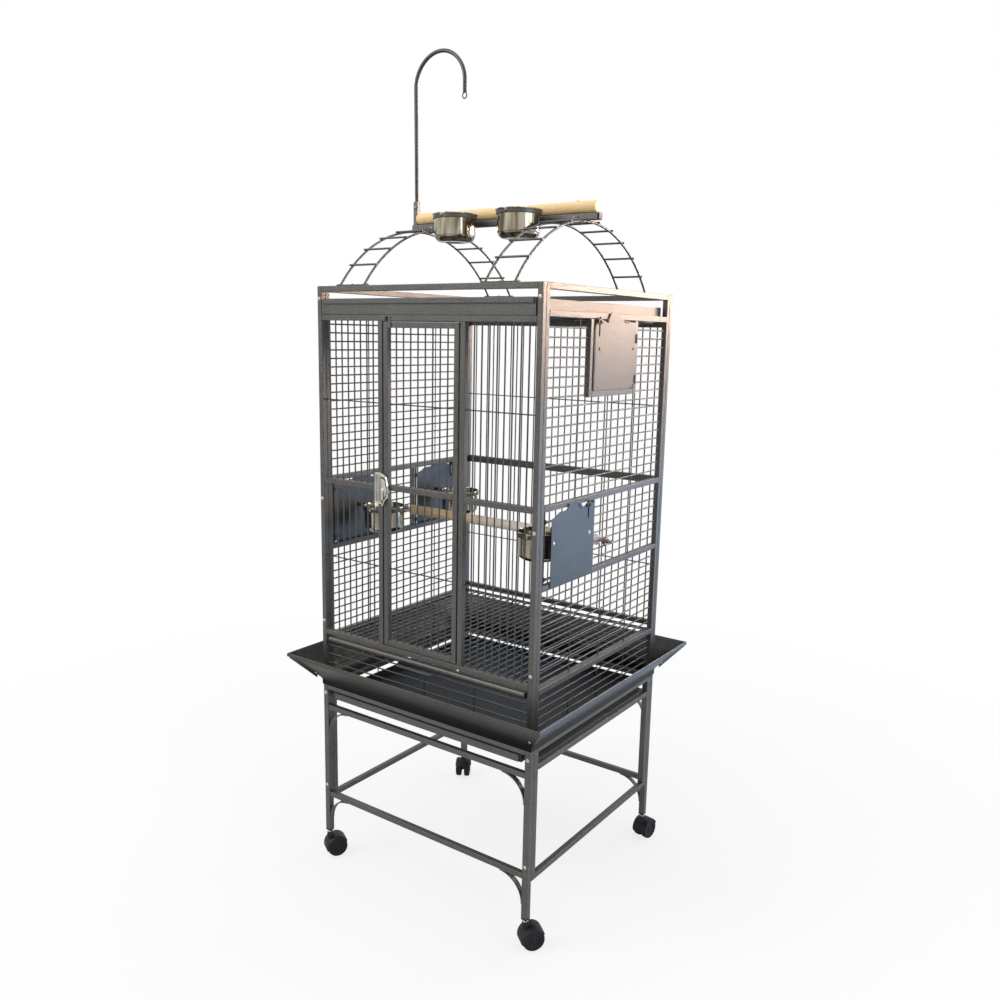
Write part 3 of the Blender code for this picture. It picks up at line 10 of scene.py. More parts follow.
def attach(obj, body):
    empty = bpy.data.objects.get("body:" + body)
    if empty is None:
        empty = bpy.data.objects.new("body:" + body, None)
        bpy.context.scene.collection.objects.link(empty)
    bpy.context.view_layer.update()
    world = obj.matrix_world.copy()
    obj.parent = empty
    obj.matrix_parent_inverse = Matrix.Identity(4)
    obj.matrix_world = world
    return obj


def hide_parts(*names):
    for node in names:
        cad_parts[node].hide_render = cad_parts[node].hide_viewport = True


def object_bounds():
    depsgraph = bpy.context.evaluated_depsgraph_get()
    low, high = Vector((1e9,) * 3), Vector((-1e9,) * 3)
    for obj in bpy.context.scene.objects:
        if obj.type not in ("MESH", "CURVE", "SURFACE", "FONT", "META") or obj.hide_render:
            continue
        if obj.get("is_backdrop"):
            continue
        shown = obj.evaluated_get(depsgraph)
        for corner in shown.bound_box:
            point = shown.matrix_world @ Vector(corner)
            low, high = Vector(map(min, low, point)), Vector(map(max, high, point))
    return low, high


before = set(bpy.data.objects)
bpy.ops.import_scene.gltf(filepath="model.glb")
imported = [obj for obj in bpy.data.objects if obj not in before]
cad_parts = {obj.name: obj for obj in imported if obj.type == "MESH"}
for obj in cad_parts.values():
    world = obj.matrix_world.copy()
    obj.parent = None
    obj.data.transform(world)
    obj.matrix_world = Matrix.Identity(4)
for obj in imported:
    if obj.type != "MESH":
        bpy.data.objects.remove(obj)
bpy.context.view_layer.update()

# The cage's own sizes
WIDTH = 0.61
DEPTH = 0.5666
TOP = 1.4061
BASE = 0.446
LEG_FOOT = 0.068
TUBE = 0.0127
LEG = 0.015
GAP = 0.0003
SHEET = 0.0014
PITCH = 0.0195
WIRE = 0.00175
THIN = 0.0014
BEHIND = WIRE + THIN * 0.8
SINK = 0.0006
HEADER = 1.3427
SIDE_RAIL = 1.3545
MID_RAIL = 0.9699
LOW_MID_RAIL = 0.8052
FRONT_FLOOR = 0.5997
SIDE_FLOOR = 0.5847
GRATE_Z = 0.5793
JAMB = 0.1073
EDGE = 0.0013
HALF_W = WIDTH / 2
HALF_D = DEPTH / 2
HALF_T = TUBE / 2
INNER_W = HALF_W - TUBE
PANEL_Y = HALF_D - TUBE
SIDE_END = PANEL_Y - GAP
SIDE_IN = SIDE_END - TUBE
BAR_X = HALF_W - HALF_T
BAR_Y = HALF_D - HALF_T
FRONT = -HALF_D
HEADER_LOW = HEADER - TUBE
SIDE_LOW = SIDE_RAIL - TUBE
MID_LOW = MID_RAIL - TUBE
BASE_RAIL = BASE + TUBE
ALONG_X = (1, 0, 0)
ALONG_Y = (0, 1, 0)
UP = (0, 0, 1)
FORWARD = (0, -1, 0)


# Materials

def material(name, metallic, roughness, shine=0.5):
    made = bpy.data.materials.new(name)
    made.use_nodes = True
    tree = made.node_tree
    shader = tree.nodes["Principled BSDF"]
    shader.inputs["Metallic"].default_value = metallic
    shader.inputs["Roughness"].default_value = roughness
    shader.inputs["Specular IOR Level"].default_value = shine
    return made, tree, shader


def feed(tree, socket, value):
    """Sets a constant on a socket, or links another socket to it."""
    if isinstance(value, bpy.types.NodeSocket):
        tree.links.new(value, socket)
    else:
        socket.default_value = value


def node(tree, kind, settings=None, first=(), **values):
    """A node with its first inputs in order and others by name."""
    made = tree.nodes.new("ShaderNode" + kind)
    for key, value in (settings or {}).items():
        setattr(made, key, value)
    for key, value in [*enumerate(first), *values.items()]:
        feed(tree, made.inputs[key], value)
    return made


def place(tree, stretch=(1, 1, 1)):
    """Object coordinates, stretched along the grain."""
    coords = node(tree, "TexCoord").outputs["Object"]
    return node(tree, "Mapping", Vector=coords, Scale=stretch).outputs["Vector"]


def along(tree, letter):
    """One object coordinate."""
    return node(tree, "SeparateXYZ", None, [place(tree)]).outputs[letter]


def noise(tree, vector, scale, detail=2.0, roughness=0.5):
    return node(tree, "TexNoise", Vector=vector, Scale=scale, Detail=detail,
                Roughness=roughness).outputs["Fac"]


def ramp(tree, fac, stops):
    made = node(tree, "ValToRGB", Fac=fac)
    elements = made.color_ramp.elements
    while len(elements) < len(stops):
        elements.new(0.5)
    for element, (at, colour) in zip(elements, stops):
        element.position = at
        element.color = (*colour, 1)
    return made.outputs["Color"]


def spread(tree, value, low, high, from_low=0.3, from_high=0.7):
    """Carries a value from one range to another."""
    return node(tree, "MapRange", None, (value, from_low, from_high, low, high)).outputs["Result"]


def mix(tree, fac, first, second):
    """Mixes two colours, each a tuple or a socket."""
    made = node(tree, "Mix", {"data_type": "RGBA"}, [fac])
    for index, value in ((6, first), (7, second)):
        feed(tree, made.inputs[index], (*value, 1) if isinstance(value, tuple) else value)
    return made.outputs[2]


def dress(tree, shader, colour, rough, height, depth, strength):
    """Joins colour, roughness and bump to the shader."""
    bump = node(tree, "Bump", Strength=strength, Distance=depth, Height=height)
    for key, value in (("Normal", bump.outputs["Normal"]), ("Base Color", colour),
                       ("Roughness", rough)):
        feed(tree, shader.inputs[key], value)


def hammered(name, dark, light, fleck, metallic=0.62, roughness=0.4, cell=360.0, shine=0.5,
             painted_shade_heights=None):
    """Hammered powder coat: small dimples with pale metal flecks, and if asked painted shade that
    goes near black below a height.
    """
    made, tree, shader = material(name, metallic, roughness, shine)
    vector = place(tree)
    cells = node(tree, "TexVoronoi", {"feature": "SMOOTH_F1"}, Vector=vector, Scale=cell,
                 Smoothness=0.6)
    dimple = cells.outputs["Distance"]
    cloud = noise(tree, vector, 9.0, 3.0)
    grain = noise(tree, vector, 1500.0, 2.0, 0.6)
    colour = mix(tree, spread(tree, cloud, 0, 1), dark, light)
    colour = mix(tree, spread(tree, dimple, 0, 0.55, 0.15, 0.65), colour, fleck)
    colour = mix(tree, spread(tree, grain, 0, 0.5, 0.56, 0.72), colour, fleck)
    # Painted shade: the colour goes near black below the given heights.
    if painted_shade_heights:
        share = spread(tree, along(tree, "Z"), 0.96, 0, *painted_shade_heights)
        colour = mix(tree, share, colour, (0.002, 0.002, 0.002))
    rough = spread(tree, dimple, roughness - 0.08, roughness + 0.12, 0.1, 0.8)
    dress(tree, shader, colour, rough, dimple, 0.00035, 0.75)
    return made


def polished(name, dark, light, roughness, scale=400.0, stretch=(1, 1, 1), metallic=1.0,
             shine=0.5):
    """Polished or drawn metal with fine lines along one direction."""
    made, tree, shader = material(name, metallic, roughness, shine)
    lines = noise(tree, place(tree, stretch), scale, 4.0, 0.6)
    smudge = noise(tree, place(tree), 25.0, 3.0)
    colour = mix(tree, spread(tree, smudge, 0, 1), dark, light)
    colour = mix(tree, spread(tree, lines, 0, 0.35), colour, light)
    rough = spread(tree, smudge, roughness * 0.7, roughness * 1.5)
    dress(tree, shader, colour, rough, lines, 0.00004, 0.35)
    return made


def mirror_steel(name):
    """Drawn stainless steel with painted reflections: upright bands of dark and light round its
    wall.
    """
    made, tree, shader = material(name, 1.0, 0.12)
    bands = noise(tree, place(tree, (1, 1, 0.12)), 42.0, 2.0, 0.55)
    fine = noise(tree, place(tree, (6, 6, 160)), 60.0, 3.0, 0.6)
    smudge = noise(tree, place(tree), 30.0, 3.0)
    # Painted reflections: dark bands and pale highlights stand in for what the polished wall
    # mirrors.
    colour = ramp(tree, bands, [(0.36, (0.045, 0.038, 0.026)), (0.44, (0.28, 0.235, 0.165)),
                                (0.52, (0.46, 0.41, 0.32)), (0.6, (0.12, 0.1, 0.07)),
                                (0.66, (0.66, 0.62, 0.54))])
    colour = mix(tree, spread(tree, fine, 0, 0.25), colour, (0.5, 0.46, 0.38))
    dress(tree, shader, colour, spread(tree, smudge, 0.08, 0.2), fine, 0.00004, 0.3)
    return made


def timber(name, pale, mid, dark, pale_along_x=None):
    """Turned hardwood with its grain along X, paler towards a colour along X if asked."""
    made, tree, shader = material(name, 0.0, 0.55)
    bands = noise(tree, place(tree, (1, 9, 9)), 14.0, 5.0, 0.62)
    fine = noise(tree, place(tree, (1, 30, 30)), 60.0, 3.0, 0.7)
    flecks = noise(tree, place(tree, (1, 6, 6)), 110.0, 1.0, 0.5)
    colour = ramp(tree, bands, [(0.34, pale), (0.52, mid), (0.62, pale), (0.74, dark)])
    colour = mix(tree, spread(tree, fine, 0, 0.35, 0.45, 0.75), colour, dark)
    colour = mix(tree, spread(tree, flecks, 0, 0.4, 0.66, 0.8), colour, dark)
    # The colour fades towards a near-white colour along X.
    if pale_along_x:
        low, high, white = pale_along_x
        colour = mix(tree, spread(tree, along(tree, "X"), 0, 0.9, low, high), colour, white)
    dress(tree, shader, colour, spread(tree, fine, 0.45, 0.68), fine, 0.00015, 0.5)
    return made


def moulded(name, dark, light, roughness, grain=900.0):
    """Moulded plastic with a fine matt grain and a little dust."""
    made, tree, shader = material(name, 0.0, roughness, 0.3)
    vector = place(tree)
    fine = noise(tree, vector, grain, 2.0)
    dust = noise(tree, vector, 45.0, 4.0, 0.65)
    colour = mix(tree, spread(tree, dust, 0, 0.6, 0.5, 0.75), dark, light)
    rough = spread(tree, dust, roughness - 0.06, roughness + 0.16)
    dress(tree, shader, colour, rough, fine, 0.00008, 0.4)
    return made


COAT = hammered("hammered_coat", (0.05, 0.049, 0.046), (0.082, 0.08, 0.076),
                (0.17, 0.165, 0.155), cell=420.0)
WIRE_COAT = hammered("wire_coat", (0.042, 0.044, 0.045), (0.07, 0.073, 0.075),
                     (0.122, 0.127, 0.131), roughness=0.42, cell=600.0)
PAN_COAT = hammered("pan_coat", (0.046, 0.046, 0.045), (0.078, 0.078, 0.076),
                    (0.16, 0.16, 0.155), roughness=0.44)
# A darker, bluer copy of the coat for the feeder plates: painted shade and painted cool reflection.
FEEDER_PLATE_LIT = hammered("feeder_plate_painted_light", (0.029, 0.035, 0.04), (0.05, 0.058, 0.064),
                      (0.108, 0.123, 0.133), roughness=0.38)
# Coat of the front and back seed guards, with painted shade near black on the lower part of the
# slope.
GUARD_COAT = hammered("guard_coat", (0.036, 0.037, 0.034), (0.06, 0.061, 0.056),
                      (0.13, 0.13, 0.122), 0.5, shine=0.1, painted_shade_heights=(0.478, 0.522))
# A darker, cooler copy of the guard coat for the left guard: painted shade.
LEFT_GUARD_SHADE = hammered("left_guard_painted_shade", (0.024, 0.026, 0.027), (0.04, 0.043, 0.044),
                           (0.09, 0.096, 0.098), 0.5, shine=0.2)
# A lighter, bluer copy of the guard coat for the right guard: painted cool reflection, with painted
# shade near black on the lower part of the slope.
SIDE_GUARD_LIT = hammered("side_guard_painted_light", (0.052, 0.062, 0.078), (0.08, 0.094, 0.117),
                           (0.16, 0.185, 0.22), 0.55, shine=0.45, painted_shade_heights=(0.47, 0.492))
# A near-black, bluish copy of the coat for the bottom tray's pan under the cage: painted shade.
TRAY_SHADE_COAT = hammered("tray_painted_shade", (0.008, 0.012, 0.017), (0.016, 0.022, 0.03),
                     (0.04, 0.052, 0.066), 0.3, shine=0.25)
GRATE_COAT = hammered("grate_coat", (0.042, 0.048, 0.057), (0.072, 0.081, 0.094),
                      (0.15, 0.17, 0.19), 0.7, cell=600.0)
CUP_STEEL = mirror_steel("cup_steel")
CAST = polished("cast_chrome", (0.5, 0.49, 0.45), (0.76, 0.75, 0.7), 0.26, 300.0)
NUT = polished("perch_nut", (0.3, 0.22, 0.18), (0.5, 0.39, 0.33), 0.4, 300.0, metallic=0.8)
BRASS = polished("brass_plate", (0.6, 0.47, 0.24), (0.82, 0.68, 0.4), 0.24)
ZINC = polished("zinc_plate", (0.38, 0.37, 0.34), (0.62, 0.6, 0.55), 0.28)
DULL = polished("dull_zinc", (0.12, 0.115, 0.1), (0.26, 0.25, 0.23), 0.36)
BAND = polished("dark_band", (0.06, 0.056, 0.048), (0.12, 0.11, 0.095), 0.36, 90.0,
                (1, 1, 30), 0.8)
HOOK_COAT = polished("hook_coat", (0.02, 0.02, 0.017), (0.055, 0.055, 0.05), 0.26, 90.0,
                     (1, 1, 0.1), 0.5, 0.7)
BRONZE = polished("dark_bronze", (0.03, 0.028, 0.02), (0.1, 0.088, 0.06), 0.4)
BLACK = moulded("black_fitting", (0.018, 0.017, 0.016), (0.04, 0.038, 0.035), 0.42)
PLASTIC = moulded("black_nylon", (0.007, 0.007, 0.009), (0.018, 0.018, 0.022), 0.46)
TREAD = moulded("wheel_tread", (0.006, 0.006, 0.007), (0.022, 0.021, 0.021), 0.58, 500.0)
WOOD = timber("dowel_wood", (0.88, 0.66, 0.36), (0.8, 0.56, 0.27), (0.58, 0.36, 0.15))
WOOD_PALE = timber("perch_wood", (0.64, 0.47, 0.28), (0.54, 0.38, 0.21), (0.4, 0.27, 0.14),
                   (-0.12, 0.1, (0.93, 0.92, 0.88)))


# Shapes

def mm(*pairs):
    """Pairs given in millimetres."""
    return [(a / 1000, b / 1000) for a, b in pairs]


def span(side, near, far):
    """A range on one side of the cage, low end first."""
    return sorted((side * near, side * far))


def box(mesh, low, high):
    low = Vector(low)
    high = Vector(high)
    spot = Matrix.Translation((low + high) / 2) @ Matrix.Diagonal((*(high - low), 1))
    bmesh.ops.create_cube(mesh, size=1, matrix=spot)


def rod(mesh, start, end, radius, sides=8):
    start = Vector(start)
    end = Vector(end)
    run = end - start
    turn = Vector(UP).rotation_difference(run).to_matrix().to_4x4()
    bmesh.ops.create_cone(mesh, cap_ends=True, segments=sides, radius1=radius, radius2=radius,
                          depth=run.length, matrix=Matrix.Translation((start + end) / 2) @ turn)


def skin(mesh, rings, closed=False):
    """Joins rings of points, with a cap on each end unless the rings close."""
    for low, high in zip(rings, rings[1:] + rings[:1] if closed else rings[1:]):
        for k in range(len(low)):
            after = (k + 1) % len(low)
            mesh.faces.new((low[k], low[after], high[after], high[k]))
    if not closed:
        mesh.faces.new(rings[0][::-1])
        mesh.faces.new(rings[-1])


def prism(mesh, outline, origin, across, up, out):
    """An outline in the plane of two directions, drawn out along a third."""
    origin, across, up, out = Vector(origin), Vector(across), Vector(up), Vector(out)
    near = [mesh.verts.new(origin + across * a + up * b) for a, b in outline]
    skin(mesh, [near, [mesh.verts.new(vert.co + out) for vert in near]])


def lathe(mesh, profile, centre, axis, steps, closed=False):
    """A list of (radius, height) pairs turned about an axis, run to the axis at both ends."""
    if not closed:
        first, last = profile[0], profile[-1]
        profile = [(0, first[1])] * (first[0] > 0) + profile + [(0, last[1])] * (last[0] > 0)
    centre = Vector(centre)
    axis = Vector(axis)
    side = Vector(ALONG_X) if axis.x == 0 else Vector(ALONG_Y)
    other = axis.cross(side)
    turns = [math.tau * step / steps for step in range(steps)]
    rings = []
    for radius, height in profile:
        rings.append([mesh.verts.new(centre + axis * height
                                     + (side * math.cos(a) + other * math.sin(a)) * radius)
                      for a in (turns if radius else turns[:1])])
    for low, high in zip(rings, rings[1:] + rings[:1] if closed else rings[1:]):
        for step in range(steps):
            after = (step + 1) % steps
            corners = [low[step % len(low)], low[after % len(low)],
                       high[after % len(high)], high[step % len(high)]]
            mesh.faces.new(list(dict.fromkeys(corners)))


def sweep(mesh, points, radius, sides=10, closed=False):
    """A round section carried along a path that doesn't start along X."""
    points = [Vector(point) for point in points]
    last = len(points) - 1
    side = Vector(ALONG_X)
    rings = []
    for index, point in enumerate(points):
        if closed:
            run = points[(index + 1) % len(points)] - points[index - 1]
        else:
            run = points[min(index + 1, last)] - points[max(index - 1, 0)]
        run.normalize()
        side = (side - run * side.dot(run)).normalized()
        other = run.cross(side)
        turns = [math.tau * k / sides for k in range(sides)]
        rings.append([mesh.verts.new(point + (side * math.cos(a) + other * math.sin(a)) * radius)
                      for a in turns])
    skin(mesh, rings, closed)


def arc(centre, radius, start, end, steps):
    """Points of an arc, with its angles in degrees."""
    angles = [math.radians(start + (end - start) * k / steps) for k in range(steps + 1)]
    return [(centre[0] + radius * math.cos(a), centre[1] + radius * math.sin(a)) for a in angles]


def spaced(low, high, pitch):
    count = max(1, round((high - low) / pitch) - 1)
    step = (high - low) / (count + 1)
    return [low + step * (index + 1) for index in range(count)]


def dome(mesh, spot, normal, radius=0.0034, tall=0.0022):
    """The round head of a bolt, with its washer."""
    profile = [(1.25, 0), (1.25, 0.25), (1, 0.3), (0.93, 0.62), (0.72, 0.88), (0.4, 1)]
    lathe(mesh, [(radius * a, tall * b) for a, b in profile], spot, normal, 16)


def piece(name, mesh, finish, body="cage", replaces=(), smooth=40, soften=0.0):
    """A named piece that rides on a body."""
    bmesh.ops.recalc_face_normals(mesh, faces=mesh.faces[:])
    data = bpy.data.meshes.new(name)
    mesh.to_mesh(data)
    mesh.free()
    made = bpy.data.objects.new(name, data)
    bpy.context.collection.objects.link(made)
    data.materials.append(finish)
    data.shade_smooth()
    data.set_sharp_from_angle(angle=math.radians(smooth))
    if soften:
        edge = made.modifiers.new("edge", "BEVEL")
        edge.width = soften
        edge.segments = 2
        edge.limit_method = "ANGLE"
        edge.angle_limit = math.radians(50)
        edge.harden_normals = True
    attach(made, body)
    if replaces:
        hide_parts(replaces)


def build(name, finish, shapes, body="cage", replaces=(), smooth=40, soften=0.0, move=None):
    """A piece made of shapes, each a function with its arguments after the mesh."""
    mesh = bmesh.new()
    for make, *values in shapes:
        make(mesh, *values)
    if move:
        bmesh.ops.transform(mesh, matrix=move, verts=mesh.verts[:])
    piece(name, mesh, finish, body, replaces, smooth, soften)


def boxes(name, pairs, finish=COAT, body="cage", replaces=(), soften=EDGE):
    build(name, finish, [(box, *pair) for pair in pairs], body, replaces, soften=soften)


def wires(name, runs, body="cage", replaces=()):
    """Straight wires given as (start, end, radius)."""
    build(name, WIRE_COAT, [(rod, *run, 10) for run in runs], body, replaces)


def bolts(name, heads, finish, body="cage"):
    """Bolt heads given as the arguments of dome."""
    build(name, finish, [(dome, *head) for head in heads], body)


# Front and back panels
FRONT_TIES = (1.152, 0.781)
BACK_TIES = (1.143, 0.746)
LOW_UPRIGHTS = (-0.132, 0.0085, 0.149)
BACK_GRILLE = (0.559, 0.5375, 0.516, 0.4945)
FRONT_GRILLE = (0.559, 0.537, 0.515, 0.493)
FRONT_GRILLE_HIGH = 0.5615
BACK_MID_TALL = 0.018


def panel_boxes(face, rails, uprights=()):
    far = face + TUBE
    found = [((-HALF_W, face, BASE), (-INNER_W, far, TOP)),
             ((INNER_W, face, BASE), (HALF_W, far, TOP))]
    found += [((-INNER_W, face, top - TUBE), (INNER_W, far, top)) for top in rails]
    found += [((x, face, FRONT_FLOOR), (x + TUBE, far, HEADER_LOW)) for x in uprights]
    return found


def upright_bars(left, right, low, high, y, behind, ties, pitch=PITCH):
    """Upright wires from rail to rail with level ties laid behind them."""
    runs = [((x, y, low - SINK), (x, y, high + SINK), WIRE) for x in spaced(left, right, pitch)]
    return runs + [((left - SINK, y + behind, z), (right + SINK, y + behind, z), THIN)
                   for z in ties]


def low_grille(y, behind, heights, high, radius):
    """Level wires under the floor rail with a few uprights laid behind them."""
    runs = [((-INNER_W, y, z), (INNER_W, y, z), WIRE) for z in heights]
    return runs + [((x, y + behind, BASE_RAIL - 0.001), (x, y + behind, high), radius)
                   for x in LOW_UPRIGHTS]


boxes("front_frame_tubes",
      panel_boxes(FRONT, (TOP, HEADER, FRONT_FLOOR, BASE_RAIL), (-JAMB - TUBE, JAMB)),
      replaces="front_frame")
boxes("back_frame_tubes", panel_boxes(PANEL_Y, (TOP, HEADER, BASE_RAIL)), replaces="back_frame")
for name, left, right in (("front_left_bars", -INNER_W, -JAMB - TUBE),
                          ("front_right_bars", JAMB + TUBE, INNER_W)):
    wires(name + "_wires",
          upright_bars(left, right, FRONT_FLOOR, HEADER_LOW, -BAR_Y, BEHIND, FRONT_TIES),
          replaces=name)
    boxes(name + "_rail", [((left, FRONT, MID_LOW), (right, FRONT + TUBE, MID_RAIL))])
wires("back_wires",
      upright_bars(-INNER_W, INNER_W, FRONT_FLOOR, HEADER_LOW, BAR_Y, -BEHIND, BACK_TIES)
      + low_grille(BAR_Y, -BEHIND, BACK_GRILLE, FRONT_FLOOR - TUBE + 0.001, WIRE),
      replaces="back_bars")
boxes("back_rails", [((-INNER_W, PANEL_Y, MID_RAIL - BACK_MID_TALL), (INNER_W, HALF_D, MID_RAIL)),
                     ((-INNER_W, PANEL_Y, FRONT_FLOOR - TUBE), (INNER_W, HALF_D, FRONT_FLOOR))])
wires("front_lower_wires", low_grille(-BAR_Y, BEHIND, FRONT_GRILLE, FRONT_GRILLE_HIGH, THIN),
      replaces="front_lower_grille")

# Side panels
FEEDER_FRONT = -0.2475
FEEDER_REAR = 0.0515
JAMB_WIDE = 0.006
JAMB_FRONT = FEEDER_FRONT + 0.1875
JAMB_MIDDLE = FEEDER_REAR - 0.0161
JAMB_REAR = FEEDER_REAR + 0.1875
NEST_LEFT = -0.0858
NEST_RIGHT = 0.0988
NEST_SILL = 1.1927
NEST_LOW = NEST_SILL - TUBE
SIDE_TIES = (-0.127, 0.0, 0.127)
SIDE_GRILLE = (0.554, 0.536, 0.518, 0.5, 0.482)
UPPER = spaced(MID_RAIL, SIDE_LOW, PITCH)
MIDDLE = spaced(LOW_MID_RAIL, MID_LOW, PITCH)
LOWER = spaced(SIDE_FLOOR, LOW_MID_RAIL - TUBE, PITCH)


def side_panel(name, side, members):
    """Posts, rails and the members given as (start, end, low, high)."""
    x = span(side, INNER_W, HALF_W)
    members = [(-SIDE_END, -SIDE_IN, BASE, TOP), (SIDE_IN, SIDE_END, BASE, TOP)] + members
    members += [(-SIDE_IN, SIDE_IN, top - TUBE, top)
                for top in (TOP, SIDE_RAIL, MID_RAIL, LOW_MID_RAIL, BASE_RAIL)]
    boxes(name + "_tubes", [((x[0], start, low), (x[1], end, high))
                            for start, end, low, high in members], replaces=name)


def jamb(start):
    return start, start + JAMB_WIDE, LOW_MID_RAIL, MID_LOW


def level_bars(side, start, end, heights, low, high):
    """Level wires of a side field with upright ties laid behind them."""
    x = side * BAR_X
    back = x - side * BEHIND
    runs = [((x, start - SINK, z), (x, end + SINK, z), WIRE) for z in heights]
    return runs + [((back, y, low - SINK), (back, y, high + SINK), THIN)
                   for y in SIDE_TIES if start + 0.008 < y < end - 0.008]


def field(name, side, start, end, heights, low, high):
    wires(name + "_wires", level_bars(side, start, end, heights, low, high),
          replaces=name + "_bars")


def low_field(name, side):
    """The lowest field, its grille under the floor rail and the ledge the grate slides on."""
    x = side * BAR_X
    back = x - side * BEHIND
    runs = level_bars(side, -SIDE_IN, SIDE_IN, LOWER, SIDE_FLOOR, LOW_MID_RAIL - TUBE)
    runs += [((x, -SIDE_IN, z), (x, SIDE_IN, z), WIRE) for z in SIDE_GRILLE]
    runs += [((back, y, BASE_RAIL - 0.001), (back, y, SIDE_FLOOR - TUBE + 0.001), THIN)
             for y in SIDE_TIES]
    wires(name + "_wires", runs, replaces=name)
    rail = span(side, INNER_W, HALF_W)
    tips = span(side, INNER_W - 0.0095, BAR_X)
    ledge = GRATE_Z - 0.004 - GAP
    boxes(name + "_rail",
          [((rail[0], -SIDE_IN, SIDE_FLOOR - TUBE), (rail[1], SIDE_IN, SIDE_FLOOR))])
    boxes(name + "_ledge", [((tips[0], -SIDE_IN, ledge - SHEET), (tips[1], SIDE_IN, ledge))],
          soften=0.0004)


side_panel("left_frame", -1, [jamb(JAMB_FRONT), jamb(JAMB_MIDDLE), jamb(JAMB_REAR)])
side_panel("right_frame", 1, [jamb(JAMB_FRONT), (NEST_LEFT - TUBE, NEST_LEFT, NEST_LOW, SIDE_LOW),
                              (NEST_RIGHT, NEST_RIGHT + TUBE, NEST_LOW, SIDE_LOW),
                              (NEST_LEFT, NEST_RIGHT, NEST_LOW, NEST_SILL)])
above = [z for z in UPPER if z > NEST_LOW]
below = [z for z in UPPER if z < NEST_LOW]
field("left_upper", -1, -SIDE_IN, SIDE_IN, UPPER, MID_RAIL, SIDE_LOW)
field("left_middle", -1, JAMB_FRONT + JAMB_WIDE, JAMB_MIDDLE, MIDDLE, LOW_MID_RAIL, MID_LOW)
low_field("left_lower_bars", -1)
field("right_nest_front", 1, -SIDE_IN, NEST_LEFT - TUBE, above, NEST_LOW, SIDE_LOW)
field("right_nest_rear", 1, NEST_RIGHT + TUBE, SIDE_IN, above, NEST_LOW, SIDE_LOW)
field("right_upper", 1, -SIDE_IN, SIDE_IN, below, MID_RAIL, NEST_LOW)
field("right_middle", 1, JAMB_FRONT + JAMB_WIDE, SIDE_IN, MIDDLE, LOW_MID_RAIL, MID_LOW)
low_field("right_lower_bars", 1)

# Ceiling grille
ceiling = HEADER - 0.0025
runs = [((x, -PANEL_Y, ceiling), (x, PANEL_Y, ceiling), WIRE)
        for x in spaced(-INNER_W, INNER_W, PITCH * 1.5)]
runs += [((-INNER_W, y, ceiling - BEHIND), (INNER_W, y, ceiling - BEHIND), THIN)
         for y in (-0.14, 0.0, 0.14)]
wires("ceiling_wires", runs, replaces="top_grille")

# Front door
DOOR_HALF = JAMB - 0.0033
DOOR_IN = DOOR_HALF - TUBE
DOOR_LOW = FRONT_FLOOR + 0.0016
DOOR_HIGH = HEADER_LOW - 0.0016
DOOR_MID = 0.9739
HINGE_X = DOOR_HALF - HALF_T
STUD_AT = (-0.093, FRONT - 0.0028)
tubes = [((x, FRONT, DOOR_LOW), (x + TUBE, FRONT + TUBE, DOOR_HIGH)) for x in (-DOOR_HALF, DOOR_IN)]
tubes += [((-DOOR_IN, FRONT, top - TUBE), (DOOR_IN, FRONT + TUBE, top))
          for top in (DOOR_LOW + TUBE, DOOR_MID, DOOR_HIGH)]
boxes("front_door_tubes", tubes, body="front_door", replaces="front_door")
wires("front_door_wires",
      upright_bars(-DOOR_IN, DOOR_IN, DOOR_LOW + TUBE, DOOR_HIGH - TUBE, -BAR_Y, BEHIND,
                   FRONT_TIES, PITCH * 1.05), "front_door")
build("front_door_pins", BRASS,
      [(rod, (HINGE_X, -BAR_Y, low), (HINGE_X, -BAR_Y, low + 0.0053), 0.003, 16)
       for low in (DOOR_LOW - 0.0013, DOOR_HIGH - 0.004)], "front_door")
boxes("front_door_tab", [((-0.098, FRONT - 0.0012, DOOR_HIGH - 0.012),
                          (-0.0815, FRONT + 0.0004, DOOR_HIGH + 0.012))],
      body="front_door", soften=0.0004)
build("front_door_stud", BRONZE, [(rod, (*STUD_AT, DOOR_HIGH + 0.001),
                                   (*STUD_AT, DOOR_HIGH + 0.0115), 0.0028, 16)], "front_door")
boxes("front_door_shade", [((-0.0815, FRONT - 0.0006, DOOR_HIGH - 0.0125),
                            (-0.0785, FRONT + 0.0004, DOOR_HIGH - 0.001))],
      BLACK, "front_door", soften=0.0002)
boxes("front_door_stop", [((-DOOR_IN, FRONT + 0.004, DOOR_HIGH + 0.0005),
                           (DOOR_IN, FRONT + TUBE - 0.001, HEADER_LOW + 0.0005))],
      BLACK, soften=0.0002)
bolts("jamb_pin", [((0.1115, FRONT, 0.589), FORWARD, 0.0028, 0.002)], ZINC)

